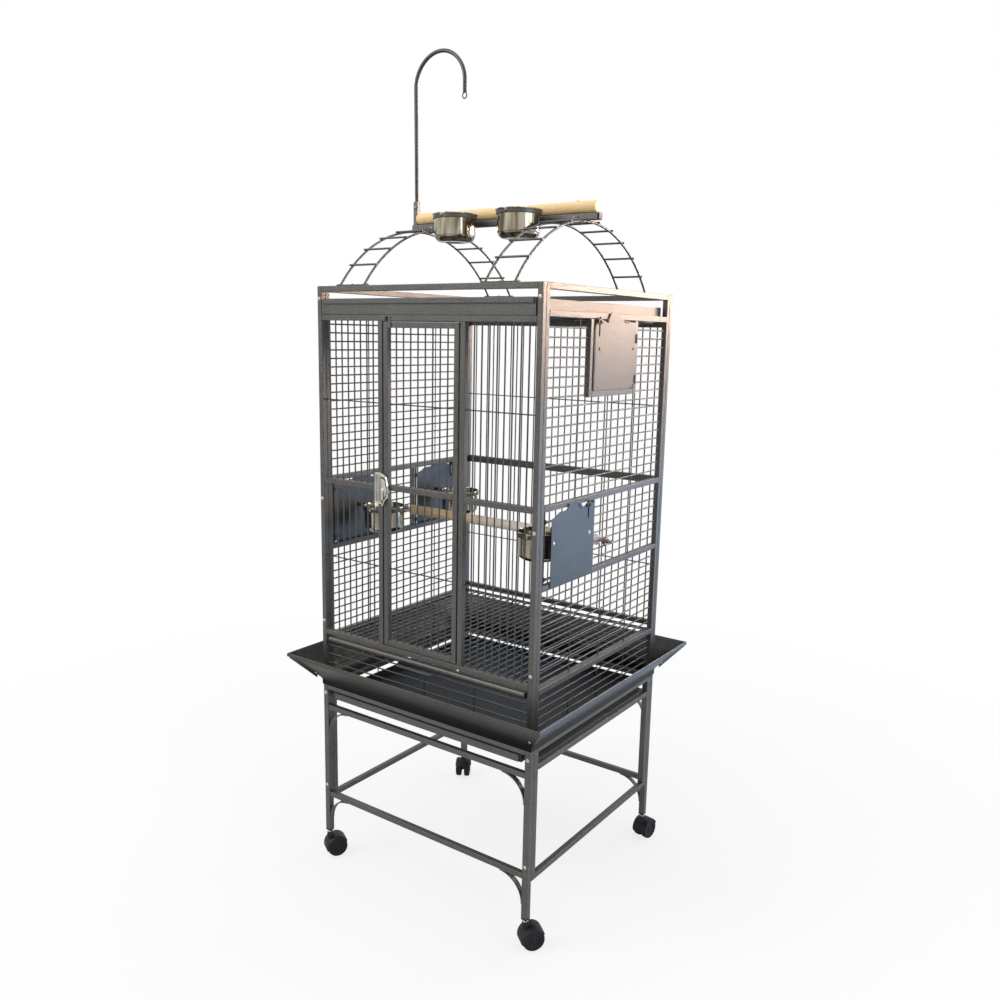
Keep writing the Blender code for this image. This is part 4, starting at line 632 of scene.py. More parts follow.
# Door latch: the ribbed keeper on the jamb and the bell-shaped lever on the door
KEEPER_WIDE = 0.023
KEEPER_R = 0.0055
KEEPER_BACK = 0.0022
LEVER_X = -HINGE_X
LEVER_Z = 0.962
keeper_left = -JAMB - HALF_T - 0.017
keeper_face = FRONT - GAP - KEEPER_BACK
lever_back = keeper_face - GAP * 2
outline = []
for x, z, turn in ((5.5, 64.5, 180), (17.5, 64.5, 90), (17.5, 5.5, 0), (5.5, 5.5, -90)):
    outline += arc((x / 1000, z / 1000), KEEPER_R, turn, turn - 90, 4)
build("keeper_plate", CAST, [(prism, outline, (keeper_left, keeper_face, 0.9285), ALONG_X, UP,
                              (0, KEEPER_BACK, 0))], "cage", "latch_keeper", soften=0.0005)
for name, shares, wide, tall, low, high, finish, soften in (
        ("keeper_ribs", (0.14, 0.36, 0.58, 0.8), 0.0026, 0.0004, 0.9345, 0.9925, CAST, 0.0003),
        ("keeper_grooves", (0.06, 0.28, 0.5, 0.72, 0.93), 0.0011, 0.0002, 0.933, 0.9945,
         BRONZE, 0)):
    starts = [keeper_left + KEEPER_WIDE * share for share in shares]
    boxes(name, [((x, keeper_face - tall, low), (x + wide, keeper_face + 0.0005, high))
                 for x in starts], finish, soften=soften)
LEVER_SHAPE = mm((-10, -30), (-4.5, -38.5), (-0.5, -30), (4.5, -22), (9.5, -17))
LEVER_SHAPE += arc((0.002, 0), 0.0125, -50, 38, 8)
LEVER_SHAPE += mm((8, 18), (7, 26), (5, 31), (0, 34.5), (-6, 35.8), (-10, 35))


def layer(mesh, share, low, high, aside=0.0004):
    """The lever's outline drawn in by a share, between two distances from its back."""
    prism(mesh, [(a * share - aside, b * share) for a, b in LEVER_SHAPE],
          (LEVER_X, lever_back - low, LEVER_Z), ALONG_X, UP, (0, low - high, 0))


build("latch_lever_cast", CAST, [(layer, 1, 0, 0.0038, 0), (layer, 0.7, 0.0036, 0.0048),
                                 (layer, 0.34, 0.0036, 0.0055)],
      "latch_lever", "latch_lever", soften=0.0007)
build("latch_lever_grooves", BRONZE,
      [(layer, 0.82, 0.003, 0.0042),
       (box, (LEVER_X - 0.0002, lever_back - 0.0056, LEVER_Z - 0.02),
        (LEVER_X + 0.0016, lever_back - 0.004, LEVER_Z - 0.004))], "latch_lever")
build("latch_lever_knob", CAST,
      [(lathe, mm((3.2, 0), (3.6, 1), (3.6, 2.6), (3, 4.2), (1.8, 5), (0, 5.2)),
        (LEVER_X, lever_back - 0.005, LEVER_Z), FORWARD, 24),
       (rod, (LEVER_X, FRONT - GAP, LEVER_Z), (LEVER_X, lever_back, LEVER_Z), 0.0035, 16)],
      "latch_lever")

# Cups and rings
CUP_R = 0.047
CUP_TALL = 0.062
CUP_WALL = 0.0009
CUP_BEND = 0.016
RING_IN = CUP_R + 0.0008
RING_OUT = RING_IN + 0.0024
RING_CUT = 0.0005


def cup(name, x, y, rim):
    """A pressed steel cup with a rolled rim and a rounded bottom edge."""
    low = rim - CUP_TALL
    floor = low + 0.0012
    bend = (CUP_R - CUP_BEND, low + CUP_BEND)
    inner = CUP_R - CUP_WALL
    profile = [(0, floor), (0.02, floor), (0.0215, low)] + arc(bend, CUP_BEND, -90, 0, 8)
    profile += [(CUP_R, rim - 0.004)] + arc((CUP_R + 0.003, rim - 0.0016), 0.0016, -110, 90, 5)
    profile += arc((CUP_R + 0.003, rim - 0.0016), 0.0016, 120, 120, 1)[:1]
    profile += [(inner + 0.0012, rim - 0.0004), (inner, rim - 0.003), (inner, low + 0.017)]
    profile += arc(bend, CUP_BEND - CUP_WALL, -10, -90, 7) + [(0, floor + CUP_WALL)]
    build(name + "_steel", CUP_STEEL, [(lathe, profile, (x, y, 0), UP, 64)], name, name, 55)


def ring(name, x, y, rim, body, replaces=()):
    high = rim - 0.0012 - GAP
    half = [(RING_IN, RING_CUT), (RING_IN + RING_CUT, 0), (RING_OUT - RING_CUT, 0),
            (RING_OUT, RING_CUT)]
    profile = [(r, high - 0.01 + h) for r, h in half] + [(r, high - h) for r, h in half[::-1]]
    build(name, BAND, [(lathe, profile, (x, y, 0), UP, 64, True)], body, replaces)

# Swing-out plates
SLOT_TALL = 0.03
SLOT_R = 0.0025


def crown(width, height, drop, start=None):
    """A plate outline with round corners, level shoulders and a raised middle, swept flanks."""
    corner, dip, half, run = 0.01, 0.003, 0.0245, 0.0125
    shoulder = height - drop
    rise = drop + dip
    foot = width / 2 - half - run
    side = arc((corner, shoulder - corner), corner, 180, 90, 6)
    side += [(foot - 5 * dip, shoulder), (foot - 3.6 * dip, shoulder - 0.35 * dip),
             (foot - 2 * dip, shoulder - dip), (foot - 0.5 * dip, shoulder - dip)]
    side += [(foot + run * t, shoulder - dip + rise * t * t * (3 - 2 * t))
             for t in (0.25, 0.5, 0.75)]
    side += [(foot + run, height)]
    return [(width, 0), (0, 0)] + (start or side) + [(width - a, b) for a, b in side[::-1]]


def slotted(mesh, outline, origin, side, slot_at, slot_top):
    """A plate on one side of the cage with an upright slot cut through it."""
    x = min(origin[0], origin[0] + side * SHEET)
    slot = arc((0, SLOT_TALL - SLOT_R), SLOT_R, 180, 0, 6) + arc((0, SLOT_R), SLOT_R, 0, -180, 6)
    things = []
    for shape, spot, thick in ((outline, origin, side * SHEET),
                               (slot, (x - 0.002, slot_at, slot_top - SLOT_TALL), 0.006)):
        made = bmesh.new()
        prism(made, shape, spot, ALONG_Y, UP, (thick, 0, 0))
        bmesh.ops.recalc_face_normals(made, faces=made.faces[:])
        data = bpy.data.meshes.new("temporary")
        made.to_mesh(data)
        thing = bpy.data.objects.new("temporary", data)
        bpy.context.collection.objects.link(thing)
        things.append(thing)
    step = things[0].modifiers.new("slot", "BOOLEAN")
    step.operation = "DIFFERENCE"
    step.solver = "EXACT"
    step.object = things[1]
    bpy.context.view_layer.update()
    done = things[0].evaluated_get(bpy.context.evaluated_depsgraph_get())
    mesh.from_mesh(bpy.data.meshes.new_from_object(done))
    for thing in things:
        bpy.data.objects.remove(thing)


def slot_shade_sheet(mesh, side, face, y, top):
    """A dark sheet behind a slot: painted shade seen through the slot."""
    x = sorted((face - side * 0.0024, face - side * 0.0034))
    box(mesh, (x[0], y - 0.005, top - 0.034), (x[1], y + 0.0125, top + 0.002))


def latch(name, side, face, y, z):
    """The thumb piece with its shank and washer."""
    outer = face + side * (SHEET + GAP)
    inner = face - side * GAP
    wing = arc((-0.006, 0.0035), 0.004, 180, 60, 6) + mm((-3, 10))
    wing += arc((0, 0.0095), 0.003, 150, 30, 5) + mm((3, 10))
    wing += arc((0.006, 0.0035), 0.004, 120, 0, 6)
    wing += arc((0.006, 0.002), 0.004, 0, -90, 4) + arc((-0.006, 0.002), 0.004, -90, -180, 4)
    build(name + "_wing", BRONZE, [(prism, wing, (outer, y, z), ALONG_Y, UP, (side * 0.003, 0, 0))],
          name, name, soften=0.0006)
    x = sorted((inner, outer))
    build(name + "_shank", BLACK,
          [(lathe, mm((4, 0), (4, 1.4), (2.6, 2.4), (0, 2.6)),
            (outer + side * 0.0028, y, z + 0.0018), (side, 0, 0), 18),
           (box, (x[0] - 0.0004, y - 0.0018, z - 0.0018), (x[1] + 0.0004, y + 0.0018, z + 0.0018)),
           (lathe, mm((4.2, 0), (4.2, 1.5)), (inner, y, z), (-side, 0, 0), 18)],
          name, soften=0.0003)


PLATE_LOW = 0.7957
PLATE_TALL = 0.1668
PLATE_WIDE = 0.172
PLATE_FACE = HALF_W + GAP * 2
SHADE_PATCH_THICK = 0.0008
FEEDER_DROP = 0.009
FEEDER_RIM = 0.893
FEEDER_START = mm((0, 144), (2, 145.2), (12.5, 147.8), (23, 153.3), (30, 155.8), (53, 156),
                  (57, 157.5), (64, 162.5), (70, 166.8))
FEEDER_SHADE_PATCH = mm((0, 0), (13.5, 10.8), (12, 13), (2, 7.5))
KNUCKLE = mm((4, 0), (4.6, 0.6), (4.6, 9), (4, 9.6))


def feeder(name, side, hinge_y):
    """A feeder hatch: plate, hinge rod, brackets, cup ring, cup, bolts and latch."""
    door = name + "_door"
    axis_x = side * BAR_X
    face = side * PLATE_FACE
    front = face + side * SHEET
    middle = face + side * SHEET / 2
    start = hinge_y + 0.0165
    slot_y = start + PLATE_WIDE - 0.0265
    slot_top = PLATE_LOW + PLATE_TALL - FEEDER_DROP - 0.002
    build(name + "_plate", FEEDER_PLATE_LIT,
          [(slotted, crown(PLATE_WIDE, PLATE_TALL, FEEDER_DROP, FEEDER_START),
            (face, start, PLATE_LOW), side, slot_y, slot_top)], door, door, soften=0.0004)
    rod_low = LOW_MID_RAIL + GAP
    rod_high = MID_LOW - GAP
    knuckles = (rod_low + 0.01, rod_high - 0.022)
    shapes = [(rod, (axis_x, hinge_y, rod_low), (axis_x, hinge_y, rod_high), 0.0021, 12)]
    shapes += [(lathe, KNUCKLE, (axis_x, hinge_y, z - 0.0034), UP, 18) for z in knuckles]
    # Black patches on the crown's flanks: painted shade.
    shapes += [(prism, [(a + way * p, b + q) for p, q in FEEDER_SHADE_PATCH], (front, start, PLATE_LOW),
                ALONG_Y, UP, (side * SHADE_PATCH_THICK, 0, 0))
               for a, b, way in ((0.0565, 0.1558, 1), (PLATE_WIDE - 0.0565, 0.151, -1))]
    build(name + "_rod", BLACK, shapes + [(slot_shade_sheet, side, face, slot_y, slot_top)], door)
    if name == "left_front_feeder":
        boxes(name + "_leaf", [((face + 0.0006, hinge_y - 0.0085, LOW_MID_RAIL + 0.001),
                                (face + SHEET, start + 0.002, MID_LOW - 0.001))],
              PAN_COAT, door, soften=0.0003)
    cup_x = axis_x - side * 0.073
    cup_y = hinge_y + 0.0975
    arm_high = FEEDER_RIM - 0.0025
    x = sorted((axis_x, middle))
    tabs = [((x[0], hinge_y, z), (x[1], start + 0.009, z + 0.003)) for z in knuckles]
    x = sorted((cup_x + side * (RING_OUT - 0.0012), middle))
    tabs.append(((x[0], cup_y - 0.007, arm_high - 0.008), (x[1], cup_y + 0.007, arm_high)))
    boxes(name + "_brackets", tabs, PAN_COAT, door, soften=0.0005)
    ring(name + "_ring", cup_x, cup_y, FEEDER_RIM, door)
    cup(name + "_cup", cup_x, cup_y, FEEDER_RIM)
    heads = [((front, y, 0.889), (side, 0, 0), 0.0034, 0.0024)
             for y in (start + 0.008, start + PLATE_WIDE - 0.02)]
    heads.append(((cup_x, cup_y - RING_OUT, arm_high - 0.0035), FORWARD, 0.003, 0.0028))
    bolts(name + "_bolts", heads, ZINC, door)
    latch(name + "_latch", side, face, slot_y, slot_top - 0.0022)


feeder("right_feeder", 1, FEEDER_FRONT)
feeder("left_front_feeder", -1, FEEDER_FRONT)
feeder("left_rear_feeder", -1, FEEDER_REAR)

# Nest door
NEST_START = -0.0812
NEST_TALL = 0.1635
NEST_DROP = 0.018
NEST_PIN = 0.0022
NEST_TOP = NEST_SILL + NEST_TALL
slot_y = NEST_START + 0.015
slot_top = NEST_TOP - NEST_DROP - 0.002
front = PLATE_FACE + SHEET
centre = (NEST_START + NEST_RIGHT) / 2
build("nest_plate", PAN_COAT,
      [(slotted, crown(NEST_RIGHT - NEST_START, NEST_TALL, NEST_DROP),
        (PLATE_FACE, NEST_START, NEST_SILL), 1, slot_y, slot_top)],
      "nest_door", "nest_door", soften=0.0004)
build("nest_knuckles", PAN_COAT,
      [(lathe, mm((1.8, 0), (2.2, 0.4), (2.2, 19.6), (1.8, 20)),
        (HALF_W + GAP + NEST_PIN, NEST_RIGHT + NEST_PIN * 0.9, NEST_SILL + low), UP, 16)
       for low in (0.01, 0.1)], "nest_door")
# Black patches on the crown's flanks and the sheet behind the slot: painted shade. Two small black
# marks sit at the lower hinge corner.
shapes = [(prism, [(way * a, b) for a, b in lip], (front, centre, NEST_TOP), ALONG_Y, UP,
           (SHADE_PATCH_THICK, 0, 0))
          for way, lip in ((-1, mm((37.5, -21), (24.5, 0), (27, 0.5), (40, -17.5))),
                           (1, mm((37.5, -21), (33, -15), (35.2, -14), (56, -17.2),
                                  (56, -20.5))))]
shapes.append((slot_shade_sheet, 1, PLATE_FACE, slot_y, slot_top))
shapes += [(box, (front - 0.0002, NEST_RIGHT - start, NEST_SILL + 0.0006),
            (front + 0.0006, NEST_RIGHT - end, NEST_SILL + high))
           for start, end, high in ((0.02, 0.004, 0.0034), (0.0062, 0.0036, 0.009))]
build("nest_shade_patches", BLACK, shapes, "nest_door")
# Black sheets along the plate's left edge, filling the gap to the jamb: painted shade.
corner = (NEST_LEFT + 0.0006, NEST_SILL + 0.001)
high = NEST_TOP - 0.03
boxes("nest_edge_shade", [((HALF_W - 0.007, *corner), (PLATE_FACE + 0.0004, NEST_LEFT + 0.0018, high)),
                      ((PLATE_FACE, *corner), (PLATE_FACE + 0.0008, NEST_START + 0.001, high))],
      BLACK, "nest_door", soften=0)
bolts("nest_bolts", [((front, y, 1.2803), ALONG_X, 0.0026, 0.0016) for y in (-0.0636, 0.0876)],
      BLACK, "nest_door")
latch("nest_latch", 1, PLATE_FACE, slot_y, slot_top - 0.0022)

# Floor grate
GRATE_HALF = INNER_W - 0.0018
GRATE_BACK = PANEL_Y - 0.0055
GRATE_EDGE = GRATE_HALF - 0.004
TUBE_Z = GRATE_Z - 0.0047
end = GRATE_HALF - 0.006
shapes = [(rod, (x, -BAR_Y + 0.002, GRATE_Z), (x, GRATE_BACK, GRATE_Z), WIRE)
          for x in spaced(-GRATE_EDGE, GRATE_EDGE, PITCH)]
shapes += [(rod, (-GRATE_EDGE, y, GRATE_Z - BEHIND), (GRATE_EDGE, y, GRATE_Z - BEHIND), THIN * 1.1)
           for y in (-0.255, -0.09, 0.09, GRATE_BACK - 0.004)]
build("grate_wires", GRATE_COAT, shapes, "floor_grate", "floor_grate")
shapes = [(lathe, [(0.007, -end), (0.0079, 0.001 - end), (0.0079, end - 0.001), (0.007, end)],
           (0, -BAR_Y, TUBE_Z), ALONG_X, 24)]
shapes += [(rod, (x, -SIDE_END + 0.004, GRATE_Z), (x, GRATE_BACK, GRATE_Z), 0.0038, 12)
           for x in (-GRATE_EDGE, GRATE_EDGE)]
shapes += [(rod, (-GRATE_EDGE, GRATE_BACK, GRATE_Z), (GRATE_EDGE, GRATE_BACK, GRATE_Z), 0.0024, 12)]
build("grate_frame", COAT, shapes, "floor_grate")
loop = [(-0.054, -BAR_Y - 0.004, TUBE_Z)]
loop += [(-0.044 - 0.01 * math.cos(math.radians(a)),
          -BAR_Y - 0.016 - 0.01 * math.sin(math.radians(a)), TUBE_Z - 0.006)
         for a in (0, 22, 45, 68, 90)]
loop += [(-x, y, z) for x, y, z in reversed(loop)]
build("grate_handle", WIRE_COAT, [(sweep, loop, 0.0022, 12)], "floor_grate")

# Trays
PAN_WALL = 0.0012
TRAY_HALF = INNER_W - 0.0023
TRAY_FRONT = FRONT - 0.0006
TRAY_BACK = 0.2535
TRAY_LOW = HEADER + GAP
TRAY_HIGH = TRAY_LOW + 0.033
RUNNER_TOP = 0.4237
PAN_HALF = 0.2775
PAN_LOW = RUNNER_TOP + GAP
PAN_HIGH = PAN_LOW + 0.0205
PAN_FRONT = FRONT + 0.0065
PAN_BACK = 0.262


def pan(low, high):
    x0, y0, z0 = low
    x1, y1, z1 = high
    return [(low, (x1, y1, z0 + PAN_WALL)), (low, (x0 + PAN_WALL, y1, z1)),
            ((x1 - PAN_WALL, y0, z0), high), (low, (x1, y0 + PAN_WALL, z1)),
            ((x0, y1 - PAN_WALL, z0), high)]


boxes("top_tray_pan",
      pan((-TRAY_HALF, TRAY_FRONT, TRAY_LOW), (TRAY_HALF, TRAY_BACK, TRAY_HIGH)),
      PAN_COAT, "top_tray", "top_tray", soften=0.0004)
hem_low = TRAY_HIGH - 0.0025
hem_front = TRAY_FRONT + 0.001
boxes("top_tray_hems",
      [((-TRAY_HALF + 0.004, TRAY_FRONT - 0.004, TRAY_HIGH - 0.0095),
        (TRAY_HALF - 0.004, TRAY_FRONT + 0.0012, TRAY_HIGH + 0.002)),
       ((-TRAY_HALF, hem_front, hem_low), (-TRAY_HALF + 0.0035, TRAY_BACK, TRAY_HIGH)),
       ((TRAY_HALF - 0.0035, hem_front, hem_low), (TRAY_HALF, TRAY_BACK, TRAY_HIGH)),
       ((-TRAY_HALF, TRAY_BACK - 0.0035, hem_low), (TRAY_HALF, TRAY_BACK, TRAY_HIGH))],
      PAN_COAT, "top_tray", soften=0.0011)
boxes("bottom_tray_pan", pan((-PAN_HALF, PAN_FRONT, PAN_LOW), (PAN_HALF, PAN_BACK, PAN_HIGH)),
      TRAY_SHADE_COAT, "bottom_tray", "bottom_tray", soften=0.0004)
boxes("bottom_tray_band",
      [((0.006 - PAN_HALF, PAN_FRONT - 0.003, PAN_LOW),
        (PAN_HALF - 0.006, PAN_FRONT + 0.0007, PAN_LOW + 0.0155)),
       ((-PAN_HALF, PAN_FRONT, PAN_LOW + 0.018), (PAN_HALF, PAN_FRONT + 0.003, PAN_HIGH))],
      PAN_COAT, "bottom_tray", soften=0.001)

# Seed guards
FOLD = BASE + 0.0254
FOOT = BASE + 0.0113
RISE = 0.0687
REACH_X = 0.0582
REACH_Y = 0.0607
HEM = 0.009
END_PLATE = 0.0062


def guard(name, half, reach, other, turn, spot, finish=GUARD_COAT):
    """A flange on the panel, a slope outwards and a folded hem, mitred at both ends."""
    mitre = other / reach
    flat = GAP + SHEET / 2
    tip = reach + SHEET / 2
    top = FOLD + RISE

    def loft(mesh, profile, *ends):
        """The profile carried between ends, each a side and a distance from the mitre."""
        skin(mesh, [[mesh.verts.new((sign * (half + n * mitre - GAP - inset), n, z))
                     for n, z in profile] for sign, inset in ends])

    line = [(flat, FOOT), (flat, FOLD - 0.003), (flat + 0.0006, FOLD - 0.0008),
            (GAP + 0.003, FOLD + 0.0022), (reach - 0.0022, top - 0.003),
            (reach - 0.0006, top - 0.0012), (tip, top - 0.0022), (tip, top - HEM)]
    line = [Vector(point) for point in line]
    faces = ([], [])
    for index, point in enumerate(line):
        way = (line[min(index + 1, len(line) - 1)] - line[max(index - 1, 0)]).normalized()
        normal = Vector((-way.y, way.x)) * SHEET / 2
        faces[0].append(point + normal)
        faces[1].append(point - normal)
    near, far = [(flat + (reach - GAP) * share, FOLD + RISE * share) for share in (0.17, 0.95)]
    drop = END_PLATE / math.cos(math.atan2(RISE, reach))
    plate = [near, far, (far[0], far[1] - drop), (near[0], near[1] - drop)]
    shapes = [(loft, faces[0] + faces[1][::-1], (-1, 0), (1, 0))]
    shapes += [(loft, plate, (sign, 0), (sign, SHEET)) for sign in (-1, 1)]
    heads = [(dome, (sign * (half + other * share - 0.0075), reach * share + GAP + SHEET,
                     FOLD + RISE * share - 0.0012), Vector((0, RISE, -reach)).normalized(),
              0.0026, 0.0018) for share in (0.26, 0.86) for sign in (-1, 1)]
    move = Matrix.Translation(spot) @ Matrix.Rotation(turn, 4, "Z")
    build(name + "_sheet", finish, shapes, "cage", name, 50, move=move)
    build(name + "_bolts", ZINC, heads, move=move)


guard("seed_guard_back", HALF_W, REACH_Y, REACH_X, 0, (0, HALF_D, 0))
guard("seed_guard_front", HALF_W, REACH_Y, REACH_X, math.pi, (0, FRONT, 0))
guard("seed_guard_left", HALF_D, REACH_X, REACH_Y, math.pi / 2, (-HALF_W, 0, 0), LEFT_GUARD_SHADE)
guard("seed_guard_right", HALF_D, REACH_X, REACH_Y, -math.pi / 2, (HALF_W, 0, 0), SIDE_GUARD_LIT)

# Stand
STAND_FRONT = (0.4052, 0.1757)
STAND_SIDE = (0.4182, 0.1672)
LEG_IN = HALF_W - LEG
LEG_TOP = BASE - GAP
STRAP_R = 0.06
for name, sign in (("stand_front_frame", -1), ("stand_rear_frame", 1)):
    y = span(sign, HALF_D, HALF_D - LEG)
    mid = (y[0] + y[1]) / 2
    parts = [((x, y[0], LEG_FOOT + 0.004), (x + LEG, y[1], LEG_TOP)) for x in (-HALF_W, LEG_IN)]
    parts += [((-LEG_IN, mid - HALF_T, top - TUBE), (LEG_IN, mid + HALF_T, top))
              for top in STAND_FRONT]
    boxes(name + "_tubes", parts, replaces=name, soften=0.0015)
    straps = []
    for top in STAND_FRONT:
        centre = (LEG_IN - STRAP_R, top - TUBE - STRAP_R)
        strap = arc(centre, STRAP_R + 0.0009, 0, 90, 16) + arc(centre, STRAP_R - 0.0021, 90, 0, 16)
        straps += [(prism, [(way * a, b) for a, b in strap], (0, mid - 0.006, 0), ALONG_X, UP,
                    (0, 0.012, 0)) for way in (-1, 1)]
    build(name + "_straps", COAT, straps, soften=0.0006)
    boxes(name + "_plugs", [((x, mid - LEG / 2, LEG_FOOT),
                             (x + LEG, mid + LEG / 2, LEG_FOOT + 0.0045))
                            for x in (-HALF_W, LEG_IN)], PLASTIC, soften=0.0016)
for name, side in (("stand_left_frame", -1), ("stand_right_frame", 1)):
    end = HALF_D - LEG - GAP
    x = span(side, HALF_W, LEG_IN)
    parts = [((x[0], y, STAND_SIDE[1] - TUBE), (x[1], y + LEG, LEG_TOP)) for y in (-end, end - LEG)]
    x = span(side, HALF_W, INNER_W)
    parts += [((x[0], LEG - end, top - TUBE), (x[1], end - LEG, top)) for top in STAND_SIDE]
    boxes(name + "_tubes", parts, replaces=name, soften=0.0015)
    root = HALF_W - TUBE * 0.75
    tip = span(side, INNER_W - 0.0285, root)
    web = span(side, INNER_W - SHEET, root)
    run = end - LEG - 0.001
    boxes(name + "_runner",
          [((tip[0], -run, RUNNER_TOP - SHEET), (tip[1], run, RUNNER_TOP)),
           ((web[0], -run, STAND_SIDE[0] - TUBE * 0.8), (web[1], run, RUNNER_TOP))],
          PAN_COAT, soften=0.0004)

# Play top
ARCH_AT = 0.2
ARCH_HALF = 0.036
ARCH_RISE = 0.1393
ARCH_WIRE = 0.0026
RUNG_STEP = 9.8
RUNG_SHIFT = 1.1
STRIP_TOP = TOP + GAP + 0.002
ARCH_TOP = STRIP_TOP - GAP + ARCH_RISE
ARCH_R = (BAR_Y ** 2 + ARCH_RISE ** 2) / (2 * ARCH_RISE)
ARCH_Z = ARCH_TOP - ARCH_R
ARCH_END = math.degrees(math.asin(BAR_Y / ARCH_R))
RUNG_R = ARCH_R + 0.0042
SEAT = ARCH_TOP + ARCH_WIRE
BEAM = 0.015
BEAM_LOW = SEAT + 0.0006 + GAP
BEAM_TOP = BEAM_LOW + BEAM
path = arc((0, ARCH_Z), ARCH_R, 90 + ARCH_END, 90 - ARCH_END, 48)
for name, at in (("left_arch", -ARCH_AT), ("right_arch", ARCH_AT)):
    shapes = [(sweep, [(x, y, z) for y, z in path], ARCH_WIRE, 12)
              for x in (at - ARCH_HALF, at + ARCH_HALF)]
    reach = ARCH_HALF + 0.005
    for index in range(10):
        angle = math.radians(RUNG_STEP * (index - 4.5) + (RUNG_SHIFT if at > 0 else 0))
        spot = (RUNG_R * math.sin(angle), ARCH_Z + RUNG_R * math.cos(angle))
        shapes.append((rod, (at - reach, *spot), (at + reach, *spot), 0.0023, 12))
    build(name + "_ladder", WIRE_COAT, shapes, "cage", name)
    half = ARCH_HALF + 0.01
    strips = [((at - half, y, TOP + GAP), (at + half, y + TUBE - 0.0016, STRIP_TOP))
              for y in (FRONT + 0.0008, PANEL_Y + 0.0008)]
    strips.append(((at - reach, -0.01, SEAT - 0.0016), (at + reach, 0.01, SEAT + 0.0006)))
    boxes(name + "_strips", strips, soften=0.0007)
    heads = [((x, y, STRIP_TOP), UP, 0.0026, 0.0018)
             for x in (at - 0.043, at, at + 0.043) for y in (-BAR_Y, BAR_Y)]
    heads += [((x, y, SEAT + 0.0004), UP, 0.002, 0.0016)
              for x in (at - 0.028, at + 0.028) for y in (-0.0083, 0.0083)]
    bolts(name + "_bolts", heads, DULL)

BEAM_END = 0.262
CAP_START = BEAM_END - 0.005
HOOK_X = HALF_T + 0.003 - BEAM_END
HOLDER_TOP = BEAM_TOP + 0.055
boxes("beam_tube", [((-BEAM_END, -BEAM / 2, BEAM_LOW), (CAP_START + 0.0005, BEAM / 2, BEAM_TOP)),
                    ((HOOK_X - HALF_T, -HALF_T, BEAM_TOP - 0.002),
                     (HOOK_X + HALF_T, HALF_T, HOLDER_TOP))],
      replaces="play_beam", soften=0.0015)
boxes("beam_end_cap", [((CAP_START, -BEAM / 2, BEAM_LOW), (BEAM_END, BEAM / 2, BEAM_TOP))],
      PLASTIC, soften=0.0018)
boxes("beam_brackets", [((x - 0.01, y, BEAM_LOW - 0.003), (x + 0.01, y + 0.0014, BEAM_LOW + 0.01))
                        for y in (-0.009, 0.0076) for x in (-ARCH_AT, ARCH_AT)], soften=0.0005)
heads = [((x, -0.009, BEAM_LOW + 0.005), FORWARD, 0.003, 0.002) for x in (-ARCH_AT, ARCH_AT)]
heads.append(((HOOK_X, -HALF_T, BEAM_TOP + 0.04), FORWARD, 0.0034, 0.0026))
bolts("beam_bolts", heads, DULL)


def wooden_bar(name, finish, left, right, radius, edge, y, z, steps, replaces):
    """A round bar along X with its end edges taken off."""
    profile = [(radius - edge, left), (radius, left + edge), (radius, right - edge),
               (radius - edge, right)]
    build(name, finish, [(lathe, profile, (0, y, z), ALONG_X, steps)], "cage", replaces)


DOWEL_R = 0.013
DOWEL_Z = BEAM_TOP + GAP + DOWEL_R
wooden_bar("play_dowel_wood", WOOD, HOOK_X + HALF_T + 0.0008, 0.254, DOWEL_R, 0.0014, 0, DOWEL_Z,
           48, "play_dowel")
build("play_dowel_screws", DULL, [(lathe, mm((3.6, 0), (3.4, 1.2), (0, 1.6)),
                                   (x, 0, DOWEL_Z + DOWEL_R - 0.0003), UP, 16)
                                  for x in (-0.16, 0.2045)])

RIM = 1.573
cup_y = -BEAM / 2 - GAP - 0.015 - RING_OUT
arm = BEAM_TOP - 0.001
for name, x in (("play_cup_left", -0.076), ("play_cup_right", 0.1005)):
    ring(name + "_band", x, cup_y, RIM, "cage", name + "_ring")
    boxes(name + "_arm", [((x - 0.009, cup_y + RING_OUT - 0.0014, arm - 0.008),
                           (x + 0.009, -BEAM / 2 - GAP, arm))], BAND, soften=0.0006)
    bolts(name + "_band_bolt", [((x, cup_y - RING_OUT, RIM - 0.0065), FORWARD, 0.003, 0.003)], DULL)
    cup(name, x, cup_y, RIM)

# Toy hook
HOOK_TUBE = 0.0046
HOOK_R = 0.0784 - HOOK_TUBE
SHOULDER = 1.88
TIP_Z = SHOULDER - 0.026
EYE_R = 0.0068
arc_x = HOOK_X - 0.0041 + HOOK_R
tip_x = arc_x + HOOK_R
path = [(HOOK_X, 0, BEAM_TOP + 0.0045), (HOOK_X, 0, HOLDER_TOP), (HOOK_X - 0.002, 0, 1.75)]
path += [(x, 0, z) for x, z in arc((arc_x, SHOULDER), HOOK_R, 180, 0, 36)]
path += [(tip_x, 0, SHOULDER - 0.018), (tip_x, 0, TIP_Z)]
build("hook_rod", HOOK_COAT, [(sweep, path, HOOK_TUBE, 16)], "toy_hook", "toy_hook")
path = [(tip_x + a * 0.86, 0, TIP_Z - EYE_R + b) for a, b in arc((0, 0), EYE_R, 0, 345, 24)]
build("hook_eye", BRONZE, [(sweep, path, 0.0014, 10, True)], "toy_hook")

